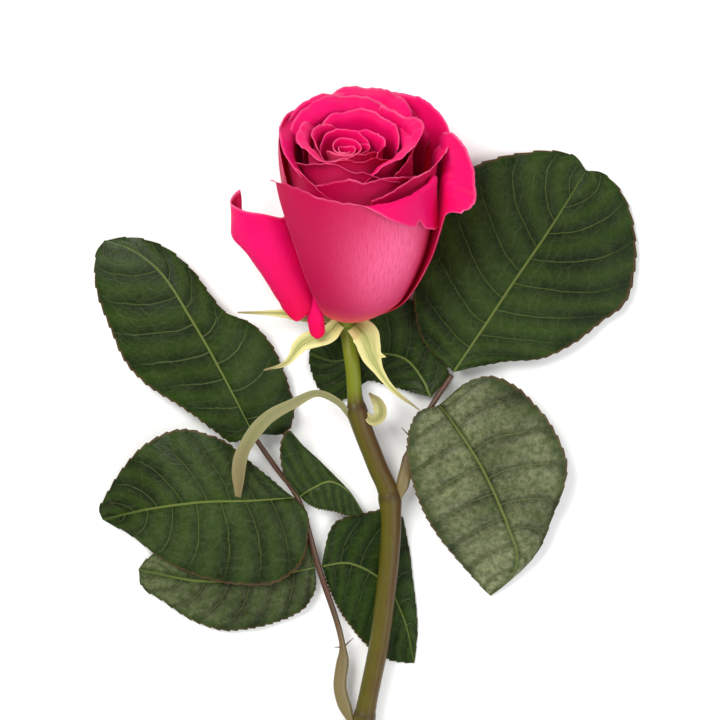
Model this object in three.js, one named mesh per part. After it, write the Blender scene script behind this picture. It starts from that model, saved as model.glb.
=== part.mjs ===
// A single cut rose lying on a flat surface. Millimetres, +Z up.
// The flower is modelled about its receptacle and rests on the belly of its outer petals;
// the stem runs away from it along -Y and rests on its cut end, and the leaves lie either side.
// At the end the whole rose is moved so that the origin is the middle of its footprint.
import * as THREE from "three";

// ---------------------------------------------------------------- driving dimensions
const flowerLean = 27; // degrees that the flower's axis rises above the surface
const flowerTurn = 2; // degrees that the flower's axis turns towards +X
const bellyReach = 24.2; // radius of the outermost petal shell at its widest
const bellyBow = 2.6; // how far the lower cup bulges to the right of the flower's axis
const petalWall = 0.55;
const petalGap = 0.43; // between one petal shell and the next one in
const petalPitch = petalWall + petalGap;
const petalLength = 80; // along the outermost shell, from its claw to the top of the tallest petal
const clawRadius = 2.6;
const hipRadius = 3.5;
const neckReach = 3.8; // how far the receptacle lies past the design origin, along Y
const neckStraight = 5; // the neck follows the flower's axis this far below the receptacle
const pedicelRadius = 2.3;
const stemRadius = 3.0;
const nodeSwell = 0.45; // how much thicker the stem is at a leaf scar
const stemLength = 225; // from the receptacle to the cut end, measured along Y
const leafWall = 0.7;
const sepalWall = 0.6;
const bractWall = 0.8;
const rachisRadius = 1.1;
const joinGap = 0.35; // left between pieces that grow from one another
const restGap = 0.05; // a piece that touches the surface stops this far above it

const rad = THREE.MathUtils.degToRad;
const up = new THREE.Vector3(0, 0, 1);
const v3 = (x, y, z) => new THREE.Vector3(x, y, z);
const smooth = THREE.MathUtils.smoothstep;
const lerp = THREE.MathUtils.lerp;

// ---------------------------------------------------------------- colours
const finish = {
  petal: new THREE.MeshStandardMaterial({ color: 0xe0155f, roughness: 0.6, metalness: 0 }),
  leaf: new THREE.MeshStandardMaterial({ color: 0x2c3d17, roughness: 0.4, metalness: 0 }),
  sepal: new THREE.MeshStandardMaterial({ color: 0xb5b478, roughness: 0.65, metalness: 0 }),
  stem: new THREE.MeshStandardMaterial({ color: 0x66582a, roughness: 0.5, metalness: 0 }),
  stalk: new THREE.MeshStandardMaterial({ color: 0x4a2f26, roughness: 0.5, metalness: 0 }),
};

const rose = new THREE.Group();

function add(name, geometry, material) {
  const mesh = new THREE.Mesh(geometry, material);
  mesh.name = name;
  rose.add(mesh);
}

// ---------------------------------------------------------------- thin shells and tapered stalks

// A thin closed shell: a flat box bent onto surface(u, v), with u from -1 to 1 and v from 0 to 1.
function shell(surface, wall, across, along) {
  const box = new THREE.BoxGeometry(2, 1, 1, across, along, 1);
  const place = box.getAttribute("position");
  const step = 1e-3;
  for (let i = 0; i < place.count; i++) {
    const u = place.getX(i);
    const v = place.getY(i) + 0.5;
    const alongU = surface(Math.min(u + step, 1), v).sub(surface(Math.max(u - step, -1), v));
    const alongV = surface(u, Math.min(v + step, 1)).sub(surface(u, Math.max(v - step, 0)));
    const normal = alongU.cross(alongV).normalize();
    const point = surface(u, v).addScaledVector(normal, place.getZ(i) * wall);
    place.setXYZ(i, point.x, point.y, point.z);
  }
  box.computeVertexNormals();
  return box;
}

// A round stalk along a curve, whose radius changes as radiusAt(t) says, with flat closed ends.
function stalk(curve, radiusAt, sides, steps) {
  const rod = new THREE.CylinderGeometry(1, 1, 1, sides, steps);
  const place = rod.getAttribute("position");
  const frames = curve.computeFrenetFrames(steps);
  for (let i = 0; i < place.count; i++) {
    const t = place.getY(i) + 0.5;
    const ring = Math.round(t * steps);
    const centre = curve.getPointAt(t);
    const reach = radiusAt(t);
    // Three.js hands out a frame (normal, binormal, tangent); the rod's own axes are (x, z, y).
    centre.addScaledVector(frames.normals[ring], -place.getX(i) * reach);
    centre.addScaledVector(frames.binormals[ring], place.getZ(i) * reach);
    place.setXYZ(i, centre.x, centre.y, centre.z);
  }
  rod.computeVertexNormals();
  return rod;
}

// ---------------------------------------------------------------- the flower's own frame
// Distances along the flower's axis are heights, and angles about it start from the side that
// faces up and go towards +X.
const axis = v3(
  Math.sin(rad(flowerTurn)) * Math.cos(rad(flowerLean)),
  Math.cos(rad(flowerTurn)) * Math.cos(rad(flowerLean)),
  Math.sin(rad(flowerLean)),
);
const face = up.clone().addScaledVector(axis, -axis.z).normalize();
const side = axis.clone().cross(face);

// The slope of the outermost shell, in degrees from the axis, at a share of its length.
function shellSlope(share) {
  const slopes = [76, 46, 26, 17, 12, 8, 4, -2, -8];
  const place = Math.min(share, 1) * (slopes.length - 1);
  const low = Math.min(Math.floor(place), slopes.length - 2);
  return lerp(slopes[low], slopes[low + 1], place - low);
}

// The outermost shell's own outline, walked out once in small steps and scaled to its radius.
const outlineSteps = 160;
const outline = (() => {
  const points = [{ r: 0, h: 0 }];
  for (let i = 0; i < outlineSteps; i++) {
    const slope = rad(shellSlope((i + 0.5) / outlineSteps));
    const last = points[i];
    const step = petalLength / outlineSteps;
    points.push({ r: last.r + Math.sin(slope) * step, h: last.h + Math.cos(slope) * step });
  }
  const widest = Math.max(...points.map((p) => p.r));
  const scale = (bellyReach - clawRadius) / widest;
  const scaled = points.map((p) => ({ r: clawRadius + p.r * scale, h: p.h }));
  return scaled.map((p, i) => {
    const before = scaled[Math.max(i - 1, 0)];
    const after = scaled[Math.min(i + 1, outlineSteps)];
    const span = Math.hypot(after.r - before.r, after.h - before.h);
    return { ...p, inwardR: (before.h - after.h) / span, inwardH: (after.r - before.r) / span };
  });
})();

// A point of the shell that lies `depth` inside the outermost one, at `share` of its length.
function onShell(depth, share) {
  const place = THREE.MathUtils.clamp(share, 0, 1) * outlineSteps;
  const low = Math.min(Math.floor(place), outlineSteps - 1);
  const a = outline[low];
  const b = outline[low + 1];
  const part = place - low;
  return {
    r: lerp(a.r, b.r, part) + lerp(a.inwardR, b.inwardR, part) * depth,
    h: lerp(a.h, b.h, part) + lerp(a.inwardH, b.inwardH, part) * depth,
  };
}

// How much shorter than the outermost shell a deeper one runs at a share of its length: the
// deepest shells crowd together near their claws, where the flower's bowl turns most.
function crowding(depth, share) {
  const step = 1 / outlineSteps;
  const a = onShell(depth, share);
  const b = onShell(depth, share + step);
  const reach = Math.hypot(b.r - a.r, b.h - a.h);
  return a.h < b.h ? (petalLength * step) / reach : Infinity;
}

// Where a shell starts: the first share of its length that is a claw's radius from the axis and
// free of crowding. A petal outside the outermost shell starts clear of the receptacle instead.
const mostCrowding = 2.2;
function clawShare(depth) {
  const from = depth < 0 ? hipRadius + petalWall + joinGap : clawRadius;
  let share = 0;
  const closed = () => onShell(depth, share).r < from || crowding(depth, share) > mostCrowding;
  while (closed() && share < 0.9) share += 1 / outlineSteps;
  return share;
}

// The receptacle's height above the surface, which lets the outermost shell just touch it.
const receptacleHeight = Math.max(
  ...outline.map((p) => p.r * Math.cos(rad(flowerLean)) - p.h * Math.sin(rad(flowerLean))),
) + petalWall / 2 + restGap;
const receptacle = v3(0, neckReach, receptacleHeight);

function inFlower(r, angle, h) {
  const bow = bellyBow * smooth(h, 0, 12) * (1 - smooth(h, 28, 62));
  return receptacle
    .clone()
    .addScaledVector(face, r * Math.cos(angle))
    .addScaledVector(side, r * Math.sin(angle) + bow)
    .addScaledVector(axis, h);
}

// ---------------------------------------------------------------- petals
// around: degrees about the axis to the petal's middle; reach: degrees from there to each edge;
// top: share of the shell's length that the petal takes; shoulder: how much its corners drop;
// flare: mm that its rim leans out of its shell, over the last flareFrom..1 of its length;
// tip: how pointed the middle of its rim is.
function petalSurface(petal) {
  const depth = petal.shell * petalPitch;
  const start = clawShare(depth);
  const { around, reach, top, shoulder = 0.08, flare = 0, flareFrom = 0.65, tip = 0.01 } = petal;
  const { skew = 0, lift = 0 } = petal;
  return (u, v) => {
    const rim = top - shoulder * Math.abs(u) ** 2.6 + tip * (1 - Math.abs(u)) ** 2 + skew * u;
    const share = lerp(start, rim, v);
    const point = onShell(depth, share);
    const lean = flare * smooth(v, flareFrom, 1) ** 1.5;
    const open = lift * v * v;
    return inFlower(point.r + lean + open, rad(around + reach * u), point.h - lean * 0.25);
  };
}

const petals = [
  { name: "petal_loose_large", shell: -1.3, around: 273, reach: 24, top: 0.6, shoulder: 0.05, lift: 11 },
  { name: "petal_loose_small", shell: -1.3, around: 310, reach: 10, top: 0.3, shoulder: 0.04, lift: 2.5 },
  { name: "petal_guard_right", shell: 0, around: 76, reach: 40, top: 0.82, flare: 8, lift: 4 },
  { name: "petal_guard_back", shell: 0, around: 163, reach: 42, top: 0.89, flare: 3, flareFrom: 0.75 },
  { name: "petal_front", shell: 1, around: 4, reach: 58, top: 0.82, shoulder: 0.05, skew: -0.02 },
  { name: "petal_guard_left", shell: 1, around: 232, reach: 44, top: 0.89 },
  { name: "petal_back_right", shell: 2, around: 118, reach: 48, top: 0.9, flare: 1 },
  { name: "petal_back_left", shell: 3, around: 205, reach: 50, top: 0.92, flare: 1 },
  { name: "petal_side_right", shell: 3, around: 58, reach: 50, top: 0.86 },
  { name: "petal_side_left", shell: 4, around: 292, reach: 54, top: 0.84 },
  { name: "petal_crown_back", shell: 4, around: 170, reach: 46, top: 0.97, flare: 0.5 },
  { name: "petal_crown_front", shell: 5, around: 22, reach: 56, top: 0.87 },
  { name: "petal_crown_left", shell: 6, around: 252, reach: 56, top: 0.92 },
  { name: "petal_crown_right", shell: 7, around: 112, reach: 56, top: 0.92 },
  { name: "petal_inner_front", shell: 8, around: 345, reach: 60, top: 0.93 },
  { name: "petal_inner_back", shell: 9, around: 195, reach: 62, top: 0.96 },
  { name: "petal_inner_right", shell: 10, around: 70, reach: 64, top: 0.95 },
  { name: "petal_inner_left", shell: 11, around: 290, reach: 66, top: 0.95 },
  { name: "petal_heart_back", shell: 12, around: 160, reach: 68, top: 0.91 },
  { name: "petal_heart_front", shell: 13, around: 20, reach: 70, top: 0.89 },
  { name: "petal_heart_left", shell: 14, around: 250, reach: 74, top: 0.89 },
  { name: "petal_heart_right", shell: 15, around: 115, reach: 78, top: 0.88 },
  { name: "petal_core_front", shell: 16.1, around: 340, reach: 84, top: 0.87 },
  { name: "petal_core_back", shell: 17.2, around: 190, reach: 90, top: 0.87 },
  { name: "petal_core_right", shell: 18.3, around: 60, reach: 100, top: 0.86 },
  { name: "petal_core_bud", shell: 19.5, around: 270, reach: 120, top: 0.86 },
];
for (const petal of petals) {
  const across = Math.round((2 * petal.reach) / (petal.shell < 12 ? 15 : 24));
  const along = petal.shell < 12 ? 9 : 7;
  add(petal.name, shell(petalSurface(petal), petalWall, across, along), finish.petal);
}

// ---------------------------------------------------------------- blades: sepals, bracts, leaflets
// A leaf-like blade along a bowed middle line.
// points: the middle line; halfWidth: at its widest, `peak` of the way along, times left or right
// for that side; blunt: below 1 fills out both ends; roll: degrees that it leans about its line,
// at its foot and at its tip; crown: how far its edges hang below its middle.
function blade(form, wall, across, along) {
  const { points, halfWidth, left = 1, right = 1, peak = 0.45, blunt = 0.75 } = form;
  const { roll = [0, 0], crown = 0 } = form;
  const middle = new THREE.CatmullRomCurve3(points, false, "centripetal");
  const swing = Math.log(0.5) / Math.log(peak);
  const surface = (u, v) => {
    const centre = middle.getPointAt(v);
    const ahead = middle.getTangentAt(v);
    const normal = up.clone().addScaledVector(ahead, -ahead.z).normalize();
    normal.applyAxisAngle(ahead, rad(lerp(roll[0], roll[1], v)));
    const sideways = ahead.clone().cross(normal);
    const shape = Math.sin(Math.PI * v ** swing) ** blunt;
    const reach = Math.max(halfWidth * shape, 0.6) * (u < 0 ? left : right);
    return centre
      .addScaledVector(sideways, u * reach)
      .addScaledVector(normal, -crown * shape * u * u);
  };
  return shell(surface, wall, across, along);
}

// ---------------------------------------------------------------- stem
const receptacleSeat = receptacle.clone().addScaledVector(axis, -(petalWall / 2 + joinGap));
const lowerNode = v3(4.9, -121, 6);
const middleNode = v3(12.6, -53.3, 7.2);
const upperNode = v3(2.7, -25.9, 7.6);
const cutEnd = v3(-11, -stemLength, stemRadius + restGap);
const stemPath = new THREE.CatmullRomCurve3(
  [
    cutEnd,
    v3(-3, (cutEnd.y + lowerNode.y) / 2, (cutEnd.z + lowerNode.z) / 2),
    lowerNode,
    v3(10.2, -92, 6.9),
    middleNode,
    v3(8.4, -42, 7.4),
    upperNode,
    v3(1.3, -12, lerp(upperNode.z, receptacleSeat.z, 0.35)),
    receptacleSeat.clone().addScaledVector(axis, -neckStraight),
    receptacleSeat,
  ],
  false,
  "centripetal",
);
const stemRun = stemPath.getLength();
// The share of the stem's run at which it passes a given Y.
function runAt(y) {
  let t = 0;
  while (stemPath.getPointAt(t).y < y && t < 1) t += 1 / 400;
  return t;
}
const swells = [lowerNode, middleNode, upperNode].map((node) => runAt(node.y));
const pedicelFrom = runAt(upperNode.y);
const hipLength = 6 / stemRun;
function stemRadiusAt(t) {
  const grown = lerp(stemRadius, pedicelRadius, smooth(t, pedicelFrom - 0.02, pedicelFrom + 0.03));
  const swollen = swells.reduce((sum, at) => sum + nodeSwell * Math.exp(-(((t - at) / 0.012) ** 2)), 0);
  return grown + swollen + (hipRadius - pedicelRadius) * smooth(t, 1 - hipLength, 1 - hipLength / 4);
}
add("stem", stalk(stemPath, stemRadiusAt, 10, 44), finish.stem);

// ---------------------------------------------------------------- sepals and bracts
const sepalDrop = 2.4; // how far below the receptacle's rim the sepals start
const collar = hipRadius + joinGap + sepalWall;
const besideHip = (angle) => inFlower(collar, rad(angle), -sepalDrop);
const sepals = [
  {
    name: "sepal_front_right",
    points: [besideHip(38), v3(5.8, -1.8, 13), v3(9.5, -13, 12), v3(21, -24.5, 11.2)],
    halfWidth: 2.9,
    crown: -0.9,
  },
  {
    name: "sepal_left",
    points: [besideHip(-48), v3(-8, -2.4, 12.4), v3(-17, -8.5, 11.5), v3(-24.5, -12.6, 10.5)],
    halfWidth: 2.7,
    crown: -0.9,
  },
  {
    name: "sepal_back_left",
    points: [besideHip(-104), v3(-12, 3.2, 7.4), v3(-22, 3.8, 9), v3(-32.5, 4.5, 11)],
    halfWidth: 1.7,
    crown: -0.5,
  },
  {
    name: "sepal_back",
    points: [0.01, 0.04, 0.07, 0.1].map((share) => {
      const under = onShell(-0.7 - sepalWall, share);
      return inFlower(under.r, rad(182), under.h);
    }),
    halfWidth: 2.4,
    crown: -0.4,
  },
  {
    name: "sepal_back_right",
    points: [0.01, 0.06, 0.11, 0.16].map((share) => {
      const under = onShell(-2.4 - sepalWall, share);
      return inFlower(under.r, rad(135), under.h);
    }),
    halfWidth: 1.7,
    crown: -0.6,
  },
];
for (const sepal of sepals) {
  add(sepal.name, blade({ ...sepal, blunt: 1 }, sepalWall, 4, 10), finish.sepal);
}

const bractClear = stemRadius + 0.7; // from the stem's middle to a bract's foot
const bracts = [
  {
    name: "bract_long",
    points: [
      v3(upperNode.x - bractClear, -26.3, 9),
      v3(-6, -20.6, 12),
      v3(-12, -21.2, 13.2),
      v3(-24, -28, 13.5),
      v3(-31.5, -39, 12.2),
      v3(-33.5, -51, 11),
    ],
    halfWidth: 2,
    roll: [0, 12],
    crown: -0.5,
  },
  {
    name: "bract_curled",
    points: [
      v3(upperNode.x + bractClear, -26.8, 9),
      v3(upperNode.x + bractClear + 2.6, -27.6, 10.5),
      v3(10.3, -24.4, 11.8),
      v3(7.4, -20.6, 12.2),
    ],
    halfWidth: 2.1,
    roll: [-10, -35],
    crown: 0.7,
  },
];
for (const bract of bracts) {
  add(bract.name, blade({ ...bract, blunt: 0.8 }, bractWall, 4, 12), finish.sepal);
}

// ---------------------------------------------------------------- leaf stalks
const footSwell = 1.9; // how much thicker a leaf stalk is at its foot, with its stipule
const footRadius = rachisRadius * footSwell;
// A point beside the stem where it passes y, to the right of it (1) or the left (-1).
function besideStem(y, hand) {
  const centre = stemPath.getPointAt(runAt(y));
  return centre.add(v3(hand * (stemRadius + nodeSwell + joinGap + footRadius), 0, -0.1));
}
const leftPairLow = v3(-9, -74.2, 4.6);
const leftPairHigh = v3(-15.3, -52.8, 5.2);
const leftEnd = v3(-28.3, -34, 6);
const rightPair = v3(26.1, -23, 6.6);
const rightEnd = v3(31.2, -15.2, 6.6);
const leafStalks = [
  {
    name: "leaf_stalk_left",
    path: [
      besideStem(-123, -1),
      v3(-2.4, -112, 5.8),
      v3(-1.6, -99.2, 5.4),
      leftPairLow,
      leftPairHigh,
      v3(-21.9, -43.4, 5.6),
      leftEnd,
    ],
    stipule: 0.3,
  },
  {
    name: "leaf_stalk_right",
    path: [besideStem(-52.4, 1), v3(17.6, -43.5, 7.2), v3(20.2, -33, 7), rightPair, rightEnd],
    stipule: 0.35,
  },
];
for (const leaf of leafStalks) {
  const path = new THREE.CatmullRomCurve3(leaf.path, false, "centripetal");
  const radiusAt = (t) => lerp(footRadius, rachisRadius, smooth(t, 0, leaf.stipule));
  add(leaf.name, stalk(path, radiusAt, 8, 26), finish.stalk);
}

// ---------------------------------------------------------------- leaflets
const tipHeight = leafWall / 2 + restGap;
// Where a leaflet starts: just clear of its stalk, on the side that (x, y, z) points to.
function fromStalk(node, x, y, z) {
  const clear = rachisRadius + joinGap + leafWall;
  return node.clone().addScaledVector(v3(x, y, z).normalize(), clear);
}
const leaflets = [
  {
    name: "leaflet_left_end",
    points: [
      fromStalk(leftEnd, -0.5, 0.8, 0.2),
      v3(-37, -16, 8),
      v3(-46, 1, 8.2),
      v3(-57, 15, 5.4),
      v3(-73.5, 22.5, tipHeight),
    ],
    halfWidth: 18.5,
    left: 1.15,
    right: 0.8,
    crown: 2,
    blunt: 0.5,
  },
  {
    name: "leaflet_left_upper",
    points: [
      fromStalk(leftPairHigh, -1, -0.2, 1.2),
      v3(-30, -52.5, 9.8),
      v3(-48, -53, 9.4),
      v3(-62, -55, 5.6),
      v3(-74.5, -58.8, tipHeight),
    ],
    halfWidth: 23,
    left: 0.9,
    crown: 1.4,
    peak: 0.42,
    blunt: 0.5,
  },
  {
    name: "leaflet_left_lower",
    points: [
      fromStalk(leftPairLow, -1, -0.3, -0.2),
      v3(-26, -77, 3.4),
      v3(-46, -77.5, 2.8),
      v3(-63.6, -76, tipHeight),
    ],
    halfWidth: 17.5,
    left: 1.05,
    right: 0.8,
    crown: 0.8,
    peak: 0.42,
    blunt: 0.5,
  },
  {
    name: "leaflet_inner_upper",
    points: [fromStalk(leftPairHigh, 0.9, 0.6, 0.3), v3(-9, -47.5, 7.5), v3(-3, -48, 7), v3(4, -55.5, 3.2)],
    halfWidth: 12,
    left: 1.3,
    right: 0.6,
    roll: [15, 60],
    crown: 0.4,
    peak: 0.38,
  },
  {
    name: "leaflet_inner_lower",
    points: [
      fromStalk(leftPairLow, 0.8, 0.1, -0.5),
      v3(3, -74.4, 2.6),
      v3(12.5, -81, 2.2),
      v3(18, -91, 1.6),
      v3(19.8, -102.5, tipHeight),
    ],
    halfWidth: 14.5,
    left: 1.1,
    right: 0.95,
    crown: 0.5,
    blunt: 0.6,
  },
  {
    name: "leaflet_right_end",
    points: [
      fromStalk(rightEnd, 0.6, 0.8, 0),
      v3(39.8, -0.6, 7),
      v3(48.6, 11.5, 7),
      v3(61, 29, 5),
      v3(73, 47.6, tipHeight),
    ],
    halfWidth: 27.5,
    left: 0.93,
    right: 1.06,
    crown: 2.2,
    peak: 0.52,
    blunt: 0.65,
  },
  {
    name: "leaflet_right_front",
    points: [
      fromStalk(rightPair, 0.5, -0.8, 1.4),
      v3(34.5, -33, 12.6),
      v3(42, -45, 13.4),
      v3(48.2, -61, 10.4),
      v3(49, -73, 6),
      v3(44.5, -84.6, tipHeight),
    ],
    halfWidth: 23,
    left: 0.85,
    right: 1.05,
    crown: 2,
    peak: 0.42,
    blunt: 0.6,
  },
  {
    name: "leaflet_under_flower",
    points: [
      fromStalk(rightPair, -0.8, 0.6, -0.7),
      v3(19, -11.5, 2.6),
      v3(8, -7.4, 1.9),
      v3(-11.5, -8.4, 1.1),
    ],
    halfWidth: 12,
    left: 0.9,
    right: 0.8,
    crown: 0.3,
    blunt: 0.6,
  },
];
for (const leaflet of leaflets) {
  add(leaflet.name, blade(leaflet, leafWall, 6, 10), finish.leaf);
}

// ---------------------------------------------------------------- the rose in its own frame
const footprint = new THREE.Box3().setFromObject(rose, true);
const middle = footprint.getCenter(new THREE.Vector3());
const placed = new THREE.Group();
rose.position.set(-middle.x, -middle.y, -footprint.min.z);
placed.add(rose);
placed.updateMatrixWorld(true);

export default placed;
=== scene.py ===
"""A cut rose lying on a pale table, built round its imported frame.

The flower, its leaves, stalks, sepals, bracts and stem are classes that hold their own sizes,
shape their own meshes and dress them. Lengths are millimetres until a mesh is made.
"""

import logging
import math
from collections.abc import Callable
from dataclasses import dataclass, field, replace
from enum import Enum

import bpy
import numpy as np
from mathutils import Matrix, Vector


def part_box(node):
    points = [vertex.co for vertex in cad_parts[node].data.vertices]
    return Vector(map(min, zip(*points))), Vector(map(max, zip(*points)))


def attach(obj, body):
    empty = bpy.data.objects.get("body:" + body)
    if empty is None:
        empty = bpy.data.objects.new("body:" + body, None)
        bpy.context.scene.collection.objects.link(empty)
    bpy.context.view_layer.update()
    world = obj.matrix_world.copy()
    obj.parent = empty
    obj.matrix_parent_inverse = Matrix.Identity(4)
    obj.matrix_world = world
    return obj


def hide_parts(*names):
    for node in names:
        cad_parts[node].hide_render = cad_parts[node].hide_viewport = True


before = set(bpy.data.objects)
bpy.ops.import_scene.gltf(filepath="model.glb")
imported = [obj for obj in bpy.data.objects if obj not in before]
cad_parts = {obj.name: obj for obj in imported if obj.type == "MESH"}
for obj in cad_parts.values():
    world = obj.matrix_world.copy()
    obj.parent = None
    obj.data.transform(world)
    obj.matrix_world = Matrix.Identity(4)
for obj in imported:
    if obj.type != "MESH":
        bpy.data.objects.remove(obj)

MM = 0.001
LOG = logging.getLogger("rose")
UP = np.array([0.0, 0.0, 1.0])
Colour = tuple[float, float, float]
Place = tuple[float, float, float]
Marks = dict[str, np.ndarray]
Reach = Callable[[np.ndarray, np.ndarray], np.ndarray]
Socket = bpy.types.NodeSocket
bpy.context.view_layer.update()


class Slot(Enum):
    """The finish slots of the record."""

    PETAL = "petal"
    LEAF = "leaf"
    SEPAL = "sepal"
    STEM = "stem"
    STALK = "stalk"


def point(x: float, y: float, z: float) -> np.ndarray:
    """A point or direction in millimetres."""
    return np.array([x, y, z], float)


def smooth(value: np.ndarray, low: float, high: float) -> np.ndarray:
    """Rises gently from 0 at low to 1 at high."""
    share = np.clip((value - low) / (high - low), 0, 1)
    return share * share * (3 - 2 * share)


def unit(vectors: np.ndarray) -> np.ndarray:
    """The vectors, each with length 1."""
    return vectors / np.maximum(np.linalg.norm(vectors, axis=-1, keepdims=True), 1e-9)


def through(shares: tuple[float, ...], values: tuple[float, ...], at: np.ndarray) -> np.ndarray:
    """A smooth curve through a few values.

    Args:
        shares: where the values stand, rising.
        values: the values.
        at: where the curve is wanted.

    Returns:
        The curve's value at each place.
    """
    knots, heights = np.array(shares, float), np.array(values, float)
    slopes = np.gradient(heights, knots)
    index = np.clip(np.searchsorted(knots, at) - 1, 0, len(knots) - 2)
    width = knots[index + 1] - knots[index]
    t = np.clip((at - knots[index]) / width, 0, 1)
    start = heights[index] * (1 + 2 * t) * (1 - t) ** 2 + slopes[index] * width * t * (1 - t) ** 2
    end = heights[index + 1] * t * t * (3 - 2 * t) - slopes[index + 1] * width * t * t * (1 - t)
    return start + end


def evenly(values: tuple[float, ...]) -> tuple[float, ...]:
    """Evenly spaced places from -1 to 1, one per value."""
    return tuple(np.linspace(-1, 1, len(values)))


def ripple(seed: int, at: np.ndarray, waves: int = 4, lowest: float = 1.0) -> np.ndarray:
    """A gentle, repeatable wander made of a few sine waves, within about -1 to 1.

    Args:
        seed: names the wander.
        at: where along it.
        waves: how many sine waves are added.
        lowest: how many turns the slowest wave makes in one unit.

    Returns:
        The wander at each place.
    """
    draw = np.random.RandomState(seed)
    total = np.zeros_like(at, float)
    for order in range(waves):
        turns = lowest * (order + 1) * (1 + 0.3 * draw.rand())
        total += np.sin(2 * np.pi * (turns * at + draw.rand())) / (order + 1.5)
    return total / 1.3


class Line:
    """A smooth line through a few points, walked by share of its length."""

    def __init__(self, points: list[np.ndarray | Place], steps: int = 40) -> None:
        """Samples a centripetal Catmull-Rom curve.

        Args:
            points: the points that the line passes.
            steps: samples between neighbouring points.
        """
        points = [np.asarray(p, float) for p in points]
        ends = [2 * points[0] - points[1], *points, 2 * points[-1] - points[-2]]
        samples = []
        for a, b, c, d in zip(ends, ends[1:], ends[2:], ends[3:]):
            samples.extend(self._piece(a, b, c, d, t / steps) for t in range(steps))
        self.samples = np.array([*samples, points[-1]])
        strides = np.linalg.norm(np.diff(self.samples, axis=0), axis=1)
        self.walked = np.concatenate([[0], np.cumsum(strides)])
        self.length = float(self.walked[-1])

    @staticmethod
    def _piece(a: np.ndarray, b: np.ndarray, c: np.ndarray, d: np.ndarray, t: float) -> np.ndarray:
        """A point on the curve's piece between b and c.

        Args:
            a: the point before.
            b: where the piece starts.
            c: where it ends.
            d: the point after.
            t: the share of the piece that is walked.

        Returns:
            The point.
        """
        t1 = np.linalg.norm(b - a) ** 0.5
        t2 = t1 + np.linalg.norm(c - b) ** 0.5
        t3 = t2 + np.linalg.norm(d - c) ** 0.5
        s = t1 + (t2 - t1) * t
        ab = (a * (t1 - s) + b * s) / t1
        bc = (b * (t2 - s) + c * (s - t1)) / (t2 - t1)
        cd = (c * (t3 - s) + d * (s - t2)) / (t3 - t2)
        abc = (ab * (t2 - s) + bc * s) / t2
        bcd = (bc * (t3 - s) + cd * (s - t1)) / (t3 - t1)
        return (abc * (t2 - s) + bcd * (s - t1)) / (t2 - t1)

    def at(self, shares: np.ndarray) -> np.ndarray:
        """Points at shares of the length."""
        along = np.asarray(shares) * self.length
        return np.stack([np.interp(along, self.walked, self.samples[:, k]) for k in range(3)], -1)

    def ahead(self, shares: np.ndarray) -> np.ndarray:
        """Directions at shares of the length."""
        step = 0.01
        return unit(self.at(np.minimum(shares + step, 1)) - self.at(np.maximum(shares - step, 0)))


def turned(vectors: np.ndarray, axes: np.ndarray, angles: np.ndarray) -> np.ndarray:
    """Turns each vector about its own axis.

    Args:
        vectors: the vectors.
        axes: a unit axis for each.
        angles: an angle in radians for each.

    Returns:
        The turned vectors.
    """
    cos, sin = np.cos(angles)[..., None], np.sin(angles)[..., None]
    along = np.sum(vectors * axes, -1, keepdims=True) * axes
    return vectors * cos + np.cross(axes, vectors) * sin + along * (1 - cos)


def level(ahead: np.ndarray, lean: np.ndarray) -> np.ndarray:
    """The upward normals of a line, leaning about it by angles in radians."""
    return turned(unit(UP - ahead * (ahead @ UP)[:, None]), ahead, lean)


def woven(u: np.ndarray, v: np.ndarray) -> Marks:
    """The marks of a blade's grid: columns at u "across" it and rows at v "along" it."""
    shape = (len(v), len(u))
    return {"across": np.broadcast_to(u[None], shape), "along": np.broadcast_to(v[:, None], shape)}


# ------------------------------------------------------------------ meshes


def mesh_piece(name: str, corners: np.ndarray, faces: list[list[int]], marks: Marks) -> bpy.types.Object:
    """Makes a smooth mesh object from millimetre corners.

    Args:
        name: the piece's name.
        corners: its corners.
        faces: lists of corner numbers.
        marks: a number per corner for each named shading mark.

    Returns:
        The new object, in metres.
    """
    mesh = bpy.data.meshes.new(name)
    mesh.from_pydata((corners * MM).tolist(), [], faces)
    mesh.validate()
    for mark, values in marks.items():
        layer = mesh.attributes.new(mark, "FLOAT", "POINT")
        layer.data.foreach_set("value", np.asarray(values, np.float32).ravel())
    mesh.polygons.foreach_set("use_smooth", [True] * len(mesh.polygons))
    piece = bpy.data.objects.new(name, mesh)
    bpy.context.scene.collection.objects.link(piece)
    return piece


def leafy(name: str, grid: np.ndarray, thickness: np.ndarray, marks: Marks) -> bpy.types.Object:
    """Makes a thin closed blade from a grid of points, with a rounded edge.

    Args:
        name: the piece's name.
        grid: points, rows along the blade and columns across it.
        thickness: how thick it is at each point.
        marks: shading marks per grid point; "upper" is added, 1 on the normal's side.

    Returns:
        The blade.
    """
    rows, columns = grid.shape[:2]
    normal = unit(np.cross(np.gradient(grid, axis=1), np.gradient(grid, axis=0)))
    half = (thickness / 2)[..., None]
    corners = np.concatenate([(grid + normal * half).reshape(-1, 3), (grid - normal * half).reshape(-1, 3)])
    number = np.arange(rows * columns).reshape(rows, columns)
    a, b = number[:-1, :-1].ravel(), number[:-1, 1:].ravel()
    c, d = number[1:, 1:].ravel(), number[1:, :-1].ravel()
    under = rows * columns
    top = np.stack([a, b, c, d], 1)
    bottom = np.stack([d, c, b, a], 1) + under
    loop = np.concatenate([number[0, :-1], number[:-1, -1], number[-1, :0:-1], number[:0:-1, 0]])
    after = np.roll(loop, -1)
    rim = np.stack([after, loop, loop + under, after + under], 1)
    faces = np.concatenate([top, bottom, rim]).tolist()
    both = {mark: np.concatenate([values.ravel()] * 2) for mark, values in marks.items()}
    both["upper"] = np.concatenate([np.ones(under), np.zeros(under)])
    return mesh_piece(name, corners, faces, both)


END_RINGS = ((0.92, 0.8), (0.55, 0.5))
END_DOME = 0.15
END_MIDDLE = 0.08


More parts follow.
